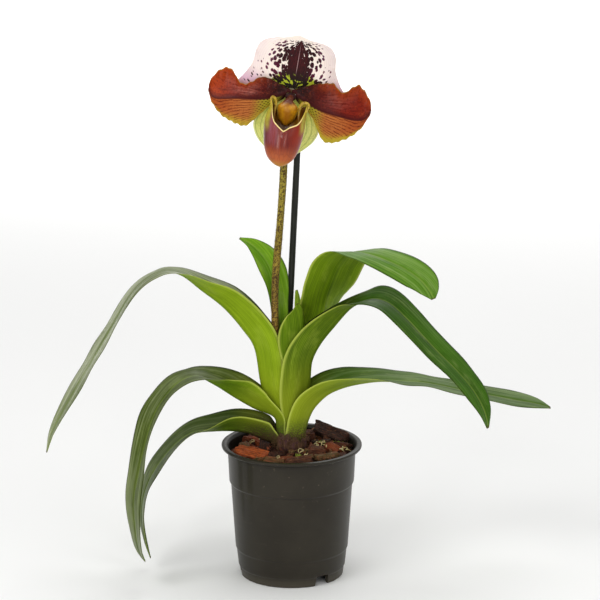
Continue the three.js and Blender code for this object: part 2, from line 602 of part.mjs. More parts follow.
// ---------- crown, roots, bark ----------
function crownSolid(grow = 0) {
  const [cx, cy] = CROWN.centre;
  const stem = lathe([
    [0, CROWN.bottom - grow], [CROWN.radiusX * 0.6 + grow, CROWN.bottom - grow],
    [CROWN.radiusX + grow, CROWN.bottom + 12], [CROWN.radiusX + grow, CROWN.top - 2],
    [CROWN.radiusX - 1 + grow, CROWN.top], [0, CROWN.top],
  ], 14);
  stem.scale(1.25, CROWN.radiusY / CROWN.radiusX * 1.15, 1);
  stem.translate(cx, cy, 0);
  let crown = toSolid(stem);
  const [sx, sy] = SHOOT.centre;
  const shootRoute = [[cx + 2, cy + 2, 98], [sx, sy, 104], [sx, sy, CROWN.top]];
  const shoot = limb(shootRoute, [5, SHOOT.radius, SHOOT.radius].map((r) => r + grow), 10, 2);
  crown = crown.add(toSolid(shoot));
  const random = randomFrom(5);
  for (let i = 0; i < ROOTS; i++) {
    const turn = 2 * Math.PI * (i + 0.35 * random()) / ROOTS;
    const spread = 24 + 12 * random();
    const down = 44 + 22 * random();
    const point = (r, z, bend) => [cx + r * Math.cos(turn + bend), cy + r * Math.sin(turn + bend), z];
    const bend = 0.5 * (random() - 0.5);
    const end = point(spread + 4, 78 - down / 2 - grow, bend * 2);
    const route = [point(3, 96, 0), point(spread * 0.5, 92, 0), point(spread, 78, bend), end];
    crown = crown.add(toSolid(limb(route, [2.6, 2.4, 2.2, 1.6].map((r) => r + grow), 5, 2)));
  }
  return crown;
}

function makeCrown() {
  return crownSolid().subtract(stakeSolid(GAP));
}

function makeDrySheath() {
  // A ragged cuff of old leaf base round the front of the fan.
  const [cx, cy] = [-1.6, -3];
  const rows = [[112.5, 12.8, 11.2, 0], [116.5, 15.4, 13.5, 0], [121, 15.8, 13.8, 0], [124.5, 16, 14, 1]];
  const grid = rows.map(([height, rx, ry, torn]) => {
    const row = [];
    for (let k = 0; k <= 12; k++) {
      const angle = rad(-132 + 104 * k / 12);
      const ragged = 3.4 * Math.abs(Math.sin(k * 1.9)) + 3 * Math.sin(k * 0.5);
      row.push(vec(cx + rx * Math.cos(angle), cy + ry * Math.sin(angle), height + torn * ragged));
    }
    return row;
  });
  const cuff = toSolid(sheet(grid, 0.9));
  return biggestPiece(cuff.subtract(makeLeaf('leaf_c', GAP * 1.6)).subtract(makeLeaf('leaf_g', GAP * 1.6)));
}

function chip(length, width, thick, random) {
  const g = bare(new THREE.BoxGeometry(length, width, thick));
  const p = g.attributes.position;
  for (let k = 0; k < p.count; k++) {
    const pull = 0.62 + 0.38 * random();
    p.setXYZ(k, p.getX(k) * pull, p.getY(k) * (0.6 + 0.4 * random()), p.getZ(k) * (0.7 + 0.5 * random()));
  }
  return g;
}

function makeMix(holes) {
  const wallAt = (z) => lerp(POT.footRadius, POT.neckRadius, z / POT.neckHeight) - POT.wall - 0.9;
  const surface = (r) => MIX.level + MIX.mound * (1 - r / POT.neckRadius) ** 1.3;
  const crest = [50, 38, 24, 0].map((r) => [r, surface(r) - 1.5]);
  const core = lathe([
    [0, MIX.floor], [wallAt(10) - 0.5, MIX.floor], [wallAt(POT.stepHeight) - 0.6, POT.stepHeight],
    [wallAt(100), 105], ...crest,
  ], 24);
  let mix = toSolid(core);
  const random = randomFrom(MIX.seed);
  const place = (g, x, y, z, turn, tilt, lean) => {
    g.rotateX(rad(lean));
    g.rotateY(rad(tilt));
    g.rotateZ(rad(turn));
    g.translate(x, y, z);
    mix = mix.add(toSolid(g));
  };
  for (let i = 0; i < MIX.chips; i++) {
    const part = (i + 0.5) / MIX.chips;
    const r = 6 + (MIX.reach - 6) * Math.sqrt(part);
    const turn = i * 2.39996;
    const size = 12 + 12 * random();
    const z = surface(r) + 2.4 * random() - 1;
    place(chip(size, size * (0.45 + 0.3 * random()), 3 + 3.5 * random(), random),
      r * Math.cos(turn), r * Math.sin(turn), z, 360 * random(), 40 * random() - 20, 36 * random() - 18);
  }
  // The long red-brown piece at the front left, the big dark one at the back right and a few bold ones.
  place(chip(36, 17, 7, random), -34, -27, 113, -28, 6, -18);
  place(chip(44, 15, 9, random), 34, 27, 116.5, -32, 9, 32);
  place(chip(28, 15, 7, random), 6, -38, 113, 12, -6, -14);
  place(chip(28, 14, 6, random), 31, -28, 113, 38, 4, -10);
  place(chip(22, 13, 6, random), -14, -40, 113, -8, 8, -12);
  const neck = wallAt(POT.neckHeight);
  const room = lathe([
    [0, MIX.floor], [wallAt(10), MIX.floor], [wallAt(POT.stepHeight) - 0.2, POT.stepHeight],
    [neck, POT.neckHeight], [neck + 0.4, POT.rimTop + 12], [0, POT.rimTop + 12],
  ], POT.sides);
  mix = mix.intersect(toSolid(room));
  for (const hole of holes) mix = mix.subtract(hole);
  return biggestPiece(mix);
}

// ---------- stake, scape, ovary, bract ----------
function stakeSolid(grow = 0) {
  const foot = vec(...STAKE.foot);
  const top = vec(...STAKE.top);
  const length = foot.distanceTo(top);
  const r = STAKE.radius + grow;
  const end = length + grow;
  const profile = [[0, -grow], [0.9 + grow, -grow], [r, 14], [r, length - 2.2], [r * 0.62, end], [0, end]];
  const g = lathe(profile, STAKE.sides);
  const lean = new THREE.Quaternion().setFromUnitVectors(vec(0, 0, 1), top.sub(foot).normalize());
  g.applyQuaternion(lean);
  g.translate(...STAKE.foot);
  return toSolid(g);
}

function makeScape() {
  const outline = new THREE.Shape();
  outline.absarc(0, 0, SCAPE.radius, 0, 2 * Math.PI);
  const path = new THREE.CatmullRomCurve3(SCAPE.route.map((p) => vec(...p)));
  return bare(new THREE.ExtrudeGeometry(outline, {
    steps: SCAPE.route.length * 2, curveSegments: SCAPE.sides / 2, extrudePath: path, bevelEnabled: false,
  }));
}

function makeOvary() {
  const ribbed = (angle) => 1 + OVARY.ribDepth / 4 * Math.cos(OVARY.ribs * angle);
  return limb(OVARY.route, OVARY.radii, 12, 2, ribbed);
}

function makeBract() {
  // A folded green bract that clasps the foot of the ovary from behind.
  const rows = 7;
  const grid = [];
  for (let i = 0; i < rows; i++) {
    const t = i / (rows - 1);
    const z = lerp(380, 405, t);
    const centre = along([[-5.2, 8.2], [-4.2, 10.6], [-3.4, 11.6], [-2.6, 11.8]], t);
    const wrap = lerp(150, 34, t ** 0.8);
    const reach = lerp(4.9, 6.4, Math.sin(Math.PI * t * 0.8));
    const row = [];
    for (let k = 0; k <= 8; k++) {
      const angle = rad(90 + wrap * (k / 4 - 1));
      row.push(vec(centre[0] + reach * Math.cos(angle), centre[1] + reach * Math.sin(angle), z));
    }
    grid.push(row);
  }
  return sheet(grid, 0.8);
}

// ---------- assembly ----------
const orchid = new THREE.Group();

function addMesh(parent, name, shape, colour, roughness = 0.5) {
  const geometry = shape.isBufferGeometry ? shape : toGeometry(shape);
  geometry.computeVertexNormals();
  const material = new THREE.MeshStandardMaterial({ color: colour, roughness, metalness: 0 });
  const mesh = new THREE.Mesh(geometry, material);
  mesh.name = name;
  parent.add(mesh);
  return mesh;
}

addMesh(orchid, 'pot', makePot(), 0x35322b, 0.45);
addMesh(orchid, 'stake', stakeSolid(), 0x262822, 0.6);
addMesh(orchid, 'scape', makeScape(), 0x6b5a2a, 0.8);
addMesh(orchid, 'ovary', makeOvary(), 0x6a6a34, 0.8);
addMesh(orchid, 'bract', makeBract(), 0x8aa544, 0.6);
addMesh(orchid, 'crown', makeCrown(), 0x6d5138, 0.9);
addMesh(orchid, 'dry_sheath', makeDrySheath(), 0x5a4030, 0.9);

for (const name of Object.keys(LEAVES)) {
  addMesh(orchid, name, fittedLeaf(name), LEAF_COLOURS[name], 0.35);
}

const fanHole = lathe([[0, 100], [14.9, 100], [14.9, 124], [24, 140], [0, 140]], 16);
fanHole.scale(1.18, 1.03, 1);
fanHole.translate(-1.4, -2.6, 0);
const shootHole = cylinder(9.5, 110, 140, 12, SHOOT.centre[0] + 2, SHOOT.centre[1]);
const holes = [
  toSolid(fanHole), toSolid(shootHole), crownSolid(GAP * 1.4), stakeSolid(GAP), makeLeaf('leaf_c', 0.6),
];
addMesh(orchid, 'bark_mix', makeMix(holes), 0x6e3c22, 0.95);

const flower = new THREE.Group();
flower.position.set(...FLOWER.centre);
flower.rotation.y = rad(FLOWER.roll);
orchid.add(flower);
addMesh(flower, 'dorsal_sepal', makeDorsal(), 0xf2e9ea, 0.6);
addMesh(flower, 'synsepal', makeSynsepal(), 0xc3cf7c, 0.6);
addMesh(flower, 'petal_left', makePetal(-1), 0x9c3d20, 0.4);
const rightPetal = addMesh(flower, 'petal_right', makePetal(1), 0x9c3d20, 0.4);
rightPetal.rotation.y = rad(FLOWER.droop);
addMesh(flower, 'lip', makeLip(), 0xa5402a, 0.3);
addMesh(flower, 'column', makeColumn(), 0xc6942c, 0.4);

export default orchid;
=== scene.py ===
# Looks of the potted slipper orchid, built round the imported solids.
# The shapes are worked out in millimetres, with the tables that the solids are cut from, and written
# to the meshes in metres.
import math

import bpy
import numpy as np
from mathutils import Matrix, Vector


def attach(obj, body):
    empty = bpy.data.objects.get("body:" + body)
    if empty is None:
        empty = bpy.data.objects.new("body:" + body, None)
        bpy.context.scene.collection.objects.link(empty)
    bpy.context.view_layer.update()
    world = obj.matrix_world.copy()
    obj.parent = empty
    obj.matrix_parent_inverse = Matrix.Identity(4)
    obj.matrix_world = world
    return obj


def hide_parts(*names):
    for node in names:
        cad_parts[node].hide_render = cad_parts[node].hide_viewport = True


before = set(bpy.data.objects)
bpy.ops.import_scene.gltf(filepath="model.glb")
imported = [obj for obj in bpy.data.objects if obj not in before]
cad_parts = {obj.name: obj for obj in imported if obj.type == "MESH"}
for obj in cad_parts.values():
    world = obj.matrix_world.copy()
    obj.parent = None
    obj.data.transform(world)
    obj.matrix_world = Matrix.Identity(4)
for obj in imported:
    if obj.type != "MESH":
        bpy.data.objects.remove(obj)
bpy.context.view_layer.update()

MM = 0.001
SEEDS = {"petal": 20, "stake": 8, "sheath": 14, "foot_hairs": 77, "bits": 5, "roots": 31}
scene = bpy.context.scene


# ---------- camera, floor, light ----------
def look_at(thing, target):
    thing.rotation_euler = (Vector(target) - thing.location).to_track_quat("-Z", "Y").to_euler()


CAMERA = {"place": (0.00715, -2.8964, 1.0254), "target": (0.00715, 0.0, 0.2439), "lens": 211.5}
camera = bpy.data.objects.new("camera", bpy.data.cameras.new("camera"))
camera.location = CAMERA["place"]
camera.data.lens = CAMERA["lens"]
camera.data.sensor_width = 36
camera.data.clip_end = 60
look_at(camera, CAMERA["target"])
scene.collection.objects.link(camera)
scene.camera = camera


# Each light: where it stands, where it points, its width and height in metres, its power in watts.
LIGHTS = {
    "key": ((-1.5, -1.6, 2.3), (0, 0, 0.25), (1.3, 1.0), 24),
    "fill": ((1.9, -1.5, 1.5), (0, 0, 0.25), (1.2, 1.2), 9),
    "top": ((0.2, 0.5, 2.6), (0, 0, 0.2), (1.6, 1.6), 15),
    "back": ((0.6, 2.2, 1.4), (0, 0, 0.3), (1.6, 1.2), 8),
    "floor_wash": ((0, 3.4, 3.2), (0, 3.4, 0), (6.0, 2.6), 90),
    "front": ((-0.3, -2.8, 1.45), (0, 0, 0.4), (0.4, 0.3), 5),
    "left_strip": ((-1.15, -2.7, 0.95), (0, 0, 0.35), (0.5, 1.1), 12),
    "right_strip": ((0.8, -2.9, 0.95), (0, 0, 0.35), (0.3, 1.0), 6),
}
NARROW = {"floor_wash": 50}  # the spread of a light in degrees, where it isn't 180
WORLD_STRENGTH = 0.52

for light_name, (light_place, light_target, light_size, light_power) in LIGHTS.items():
    lamp = bpy.data.lights.new(light_name, "AREA")
    lamp.shape = "RECTANGLE"
    lamp.size, lamp.size_y = light_size
    lamp.energy = light_power
    lamp.spread = math.radians(NARROW.get(light_name, 180))
    holder = bpy.data.objects.new(light_name, lamp)
    holder.location = light_place
    look_at(holder, light_target)
    scene.collection.objects.link(holder)

world = bpy.data.worlds.new("studio")
world.use_nodes = True
sky = world.node_tree.nodes["Background"].inputs
sky["Color"].default_value = (1, 1, 1, 1)
sky["Strength"].default_value = WORLD_STRENGTH
scene.world = world
scene.view_settings.view_transform = "Standard"


# ---------- number helpers ----------
def catmull(rows, t):
    """Smooth values through rows of numbers, at places t from 0 to 1."""
    rows = np.asarray(rows, float)
    if rows.ndim == 1:
        return catmull(rows[:, None], t)[:, 0]
    last = len(rows) - 1
    place = np.clip(np.asarray(t, float), 0, 1) * last
    i = np.minimum(place.astype(int), last - 1)
    f = (place - i)[:, None]
    p0, p1 = rows[np.maximum(i - 1, 0)], rows[i]
    p2, p3 = rows[i + 1], rows[np.minimum(i + 2, last)]
    a, b = 2 * p1, p2 - p0
    c, d = 2 * p0 - 5 * p1 + 4 * p2 - p3, 3 * p1 - p0 - 3 * p2 + p3
    return (a + b * f + c * f**2 + d * f**3) / 2


def unit(v):
    return v / (np.linalg.norm(v, axis=-1, keepdims=True) + 1e-12)


def smooth(x, low, high):
    t = np.clip((np.asarray(x, float) - low) / (high - low), 0, 1)
    return t * t * (3 - 2 * t)


def fade(x, low, high):
    return 1 - smooth(x, low, high)


def lerp(a, b, t):
    return a + (b - a) * t


def at_each(n):
    return np.linspace(0, 1, n)[:, None]


def spread(table, first=-1):
    """Places down a blade, from 0 to 1, and across it, from first to its opposite."""
    return at_each(table["rows"]), np.linspace(first, -first, table["cols"])[None]


def read(table, t, *keys):
    """Smooth columns of numbers from the rows of a table, one number at each t."""
    return [catmull(table[key], t[:, 0])[:, None] for key in keys]


def thinned(v, least, power):
    """1 at the middle of a blade and least at its margins, v = -1 and 1."""
    return least + (1 - least) * (1 - np.abs(v) ** power)


def full_turn(around):
    return np.linspace(0, 2 * math.pi, around, endpoint=False)


def bell(x, width):
    return np.exp(-(x / width) ** 2)


def wobble(points, size, seed):
    """Soft noise from -1 to 1 at each point: waves in turned directions, with features about size long."""
    rng = np.random.default_rng(seed)
    total = np.zeros(points.shape[:-1])
    for _ in range(7):
        way = unit(rng.normal(size=3)) * (2 * math.pi / size) * rng.uniform(0.5, 1.6)
        bend = 1.7 * np.sin(points @ way[[1, 2, 0]] * 0.6)
        total += np.sin(points @ way + rng.uniform(0, 6.28) + bend)
    return total / 4


def grid_normals(grid, ring=False):
    up = np.gradient(grid, axis=0)
    if ring:
        over = (np.roll(grid, -1, 1) - np.roll(grid, 1, 1)) / 2
    else:
        over = np.gradient(grid, axis=1)
    return unit(np.cross(up, over))


# ---------- mesh helpers ----------
def fix_outward(mesh):
    """Turns a closed mesh inside out if its faces look inward."""
    mesh.calc_loop_triangles()
    corners = np.empty(len(mesh.loop_triangles) * 3, int)
    mesh.loop_triangles.foreach_get("vertices", corners)
    place = np.empty(len(mesh.vertices) * 3)
    mesh.vertices.foreach_get("co", place)
    a, b, c = (place.reshape(-1, 3)[corners.reshape(-1, 3)[:, k]] for k in range(3))
    if (a * np.cross(b, c)).sum() < 0:
        mesh.flip_normals()


def make_piece(name, points, faces, slot, replaced=(), fields=None, sharp=None):
    """A mesh piece in the row frame. points are in mm; fields are per-point values for the material."""
    mesh = bpy.data.meshes.new(name)
    mesh.from_pydata((np.asarray(points, float) * MM).tolist(), [], faces)
    mesh.validate()
    fix_outward(mesh)
    mesh.polygons.foreach_set("use_smooth", [True] * len(mesh.polygons))
    if sharp:
        mesh.set_sharp_from_angle(angle=math.radians(sharp))
    for key, values in (fields or {}).items():
        values = np.asarray(values, np.float32)
        if values.ndim == 1:
            mesh.attributes.new(key, "FLOAT", "POINT").data.foreach_set("value", values)
        else:
            mesh.attributes.new(key, "FLOAT_VECTOR", "POINT").data.foreach_set("vector", values.ravel())
    piece = bpy.data.objects.new(name, mesh)
    scene.collection.objects.link(piece)
    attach(piece, "root")
    if replaced:
        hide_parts(*replaced)
    return piece


def fine_piece(solid, points, faces, fields=None, sharp=None):
    """The piece that replaces the solid of that name."""
    return make_piece(solid + "_fine", points, faces, solid, (solid,), fields, sharp)


def sandwich(front, back, fields, ring=False):
    """Points, faces and fields of a thin closed blade between two matching grids."""
    rows, cols = front.shape[:2]
    points = np.concatenate([front.reshape(-1, 3), back.reshape(-1, 3)])
    index = np.arange(rows * cols).reshape(rows, cols)
    other = index + rows * cols
    faces = []

    def quads(a, b, c, d):
        faces.extend(np.stack([a, b, c, d], -1).reshape(-1, 4).tolist())

    def columns(g, j):
        return np.roll(g, -j, 1) if ring else g[:, j:cols - 1 + j]

    quads(columns(index, 0)[:-1], columns(index, 1)[:-1], columns(index, 1)[1:], columns(index, 0)[1:])
    quads(columns(other, 0)[:-1], columns(other, 0)[1:], columns(other, 1)[1:], columns(other, 1)[:-1])
    for row, flip in ((0, False), (rows - 1, True)):
        a, b = columns(index, 0)[row], columns(index, 1)[row]
        c, d = columns(other, 1)[row], columns(other, 0)[row]
        quads(*((d, c, b, a) if not flip else (a, b, c, d)))
    if not ring:
        quads(index[:-1, 0], index[1:, 0], other[1:, 0], other[:-1, 0])
        quads(other[:-1, -1], other[1:, -1], index[1:, -1], index[:-1, -1])
    flat = {key: values.reshape(rows * cols, -1).squeeze() for key, values in fields.items()}
    doubled = {key: np.concatenate([values] * 2) for key, values in flat.items()}
    doubled["side"] = np.repeat([1.0, 0.0], rows * cols)
    return points, faces, doubled


def blade(solid, grid, thickness, fields, place=lambda p: p):
    """A thin closed blade round a grid. thickness may vary over the grid."""
    half = grid_normals(grid) * (np.broadcast_to(thickness, grid.shape[:2]) / 2)[..., None]
    points, faces, fields = sandwich(place(grid + half), place(grid - half), fields)
    return fine_piece(solid, points, faces, fields)


def frames_along(path):
    """Tangents and two cross directions along a path, carried with no twist."""
    tangent = unit(np.gradient(path, axis=0))
    first = np.cross(tangent[0], [0.3, 1, 0.1])
    sides = [first / np.linalg.norm(first)]
    for t in tangent[1:]:
        s = sides[-1] - t * np.dot(sides[-1], t)
        sides.append(s / np.linalg.norm(s))
    sides = np.array(sides)
    return tangent, sides, np.cross(tangent, sides)


def capped(rings, first, last):
    """Points and faces of a stack of rings that is closed by a point at each end."""
    n, around = rings.shape[:2]
    faces = []
    for i in range(n - 1):
        for j in range(around):
            k = (j + 1) % around
            faces.append((i * around + j, i * around + k, (i + 1) * around + k, (i + 1) * around + j))
    for j in range(around):
        k = (j + 1) % around
        faces += [(n * around, k, j), (n * around + 1, (n - 1) * around + j, (n - 1) * around + k)]
    return np.concatenate([rings.reshape(-1, 3), [first, last]]), faces


def tube(path, radii, around, shape=None):
    """Points and faces of a closed round tube along a path."""
    _, a, b = frames_along(path)
    turn = full_turn(around)
    form = np.ones(around) if shape is None else shape(turn)
    reach = np.broadcast_to(radii, (len(path),))[:, None] * form
    rings = path[:, None] + reach[..., None] * (
        a[:, None] * np.cos(turn)[None, :, None] + b[:, None] * np.sin(turn)[None, :, None])
    return capped(rings, path[0], path[-1])


def hairs(roots, ways, lengths, width, bend=0.0, seed=1):
    """Points and faces of thin three-sided hairs that stand on their roots, closed at the foot."""
    rng = np.random.default_rng(seed)
    ways = unit(ways)
    side = unit(np.cross(ways, rng.normal(size=ways.shape)))
    other = np.cross(ways, side)
    lengths = np.asarray(lengths)[:, None]
    droop = np.array([0, 0, -1.0]) * bend * lengths
    foot = roots - ways * 0.25
    corners = [foot + width * (side * math.cos(a) + other * math.sin(a)) for a in (0, 2.094, 4.189)]
    tips = roots + ways * lengths + droop
    points = np.stack([*corners, tips], 1).reshape(-1, 3)
    base = np.arange(len(roots))[:, None] * 4
    faces = np.concatenate([base + np.array(f) for f in ((0, 1, 3), (1, 2, 3), (2, 0, 3), (2, 1, 0))])
    return points, faces.tolist()


def gather(parts):
    """Several (points, faces) sets as one."""
    points, faces, shift = [], [], 0
    for p, f in parts:
        points.append(p)
        faces.extend([tuple(v + shift for v in face) for face in f])
        shift += len(p)
    return np.concatenate(points), faces


# ---------- material helpers ----------
def rgb(code):
    """A colour from its hex code as seen on screen, in linear values."""
    parts = [int(code[i:i + 2], 16) / 255 for i in (1, 3, 5)]
    return tuple(c / 12.92 if c <= 0.04045 else ((c + 0.055) / 1.055) ** 2.4 for c in parts) + (1.0,)


class Term:
    """A value in a node tree. Sums of terms and numbers are terms too."""

    def __init__(self, looks, socket):
        self.looks, self.socket = looks, socket

    def __add__(self, other):
        return self.looks.sum("ADD", self, other)

    def __radd__(self, other):
        return self.looks.sum("ADD", other, self)

    def __sub__(self, other):
        return self.looks.sum("SUBTRACT", self, other)

    def __rsub__(self, other):
        return self.looks.sum("SUBTRACT", other, self)

    def __mul__(self, other):
        return self.looks.sum("MULTIPLY", self, other)

    def __truediv__(self, other):
        return self.looks.sum("DIVIDE", self, other)

    def __pow__(self, other):
        return self.looks.sum("POWER", self, other)

    def __abs__(self):
        return self.looks.sum("ABSOLUTE", self)

    def step(self, low, high, end=1.0, start=0.0):
        """Runs smoothly from start, where this term is low, to end, where it is high."""
        inputs = enumerate((self, low, high, start, end))
        return Term(self.looks, self.looks.node("MapRange", inputs, interpolation_type="SMOOTHSTEP")[0])


class Looks:
    """Builds one node material. Colours are hex codes or terms; numbers are plain or terms."""

    def __init__(self, name, roughness=0.5, coat=0.0, specular=0.5, subsurface=0.0, gleam="#ffffff",
                 coat_roughness=0.12):
        self.material = bpy.data.materials.new(name)
        self.material.use_nodes = True
        self.tree = self.material.node_tree
        self.tree.nodes.clear()
        self.shader = self.tree.nodes.new("ShaderNodeBsdfPrincipled")
        out = self.tree.nodes.new("ShaderNodeOutputMaterial")
        self.tree.links.new(self.shader.outputs["BSDF"], out.inputs["Surface"])
        for key, value in {
            "Roughness": roughness, "Coat Weight": coat, "Coat Roughness": coat_roughness,
            "Specular IOR Level": specular, "Specular Tint": rgb(gleam),
            "Subsurface Weight": subsurface, "Subsurface Radius": (0.004, 0.003, 0.0015),
            "Subsurface Scale": 0.5,
        }.items():
            self.shader.inputs[key].default_value = value

    def put(self, socket, value):
        if isinstance(value, Term):
            self.tree.links.new(value.socket, socket)
        else:
            socket.default_value = rgb(value) if isinstance(value, str) else value

    def node(self, kind, inputs, **settings):
        """The outputs of a new node, by name and number."""
        node = self.tree.nodes.new("ShaderNode" + kind)
        for key, value in settings.items():
            setattr(node, key, value)
        for key, value in inputs:
            self.put(node.inputs[key], value)
        return node.outputs

    def field(self, name, output="Fac"):
        return Term(self, self.node("Attribute", (), attribute_name=name)[output])

    def parts(self, vector=None):
        """The three numbers of a vector; of the object's own space if none is given."""
        return [Term(self, out) for out in self.node("SeparateXYZ", [(0, self.place(vector))])]

    def place(self, at):
        """Where a pattern is read: object space, three numbers or a vector."""
        if at is None:
            return Term(self, self.node("TexCoord", ())["Object"])
        return Term(self, self.node("CombineXYZ", enumerate(at))[0]) if isinstance(at, tuple) else at

    def sum(self, kind, *values):
        return Term(self, self.node("Math", enumerate(values), operation=kind)[0])

    def wave(self, value):
        """A sine wave between 0 and 1."""
        return self.sum("MULTIPLY_ADD", self.sum("SINE", value), 0.5, 0.5)

    def mix(self, factor, a, b):
        inputs = (("Factor", factor), (6, a), (7, b))
        return Term(self, self.node("Mix", inputs, data_type="RGBA", blend_type="MIX")[2])

    def layers(self, colour, *coats):
        """A colour under coats of others, each as (how much, colour)."""
        for factor, coat in coats:
            colour = self.mix(factor, colour, coat)
        return colour

    def noise(self, scale, detail=3.0, rough=0.55, at=None):
        inputs = {"Vector": self.place(at), "Scale": scale, "Detail": detail, "Roughness": rough}
        return Term(self, self.node("TexNoise", inputs.items())["Fac"])

    def streaks(self, at, detail=3.0, rough=0.55):
        """Noise read at three numbers, so that it can be drawn out along one of them."""
        return self.noise(1.0, detail, rough, at)

    def cells(self, scale, feature="F1", spread=1.0, at=None):
        inputs = (("Vector", self.place(at)), ("Scale", scale), ("Randomness", spread))
        return Term(self, self.node("TexVoronoi", inputs, feature=feature)["Distance"])

    def speckles(self, at, spread):
        """How far a point lies from the heart of its cell, and a number from 0 to 1 that the cell keeps."""
        inputs = (("Vector", self.place(at)), ("Scale", 1.0), ("Randomness", spread))
        outputs = self.node("TexVoronoi", inputs, voronoi_dimensions="2D")
        return Term(self, outputs["Distance"]), self.parts(Term(self, outputs["Color"]))[0]

    def finish(self, colour, roughness=None, heights=()):
        """Links colour and roughness, and a bump for each (height, strength, distance in metres)."""
        self.put(self.shader.inputs["Base Color"], colour)
        if roughness is not None:
            self.put(self.shader.inputs["Roughness"], roughness)
        last = None
        for height, strength, distance in heights:
            node = self.tree.nodes.new("ShaderNodeBump")
            node.inputs["Strength"].default_value = strength
            node.inputs["Distance"].default_value = distance
            self.put(node.inputs["Height"], height)
            if last:
                self.tree.links.new(last, node.inputs["Normal"])
            last = node.outputs["Normal"]
        if last:
            self.tree.links.new(last, self.shader.inputs["Normal"])
        return self.material


def two_toned(name, scale, one, other, **settings):
    """A look that wanders between two colours, with patches as fine as scale says."""
    m = Looks(name, **settings)
    return m.finish(m.mix(m.noise(scale), one, other))


def dress(piece, *materials):
    piece.data.materials.clear()
    for material in materials:
        piece.data.materials.append(material)


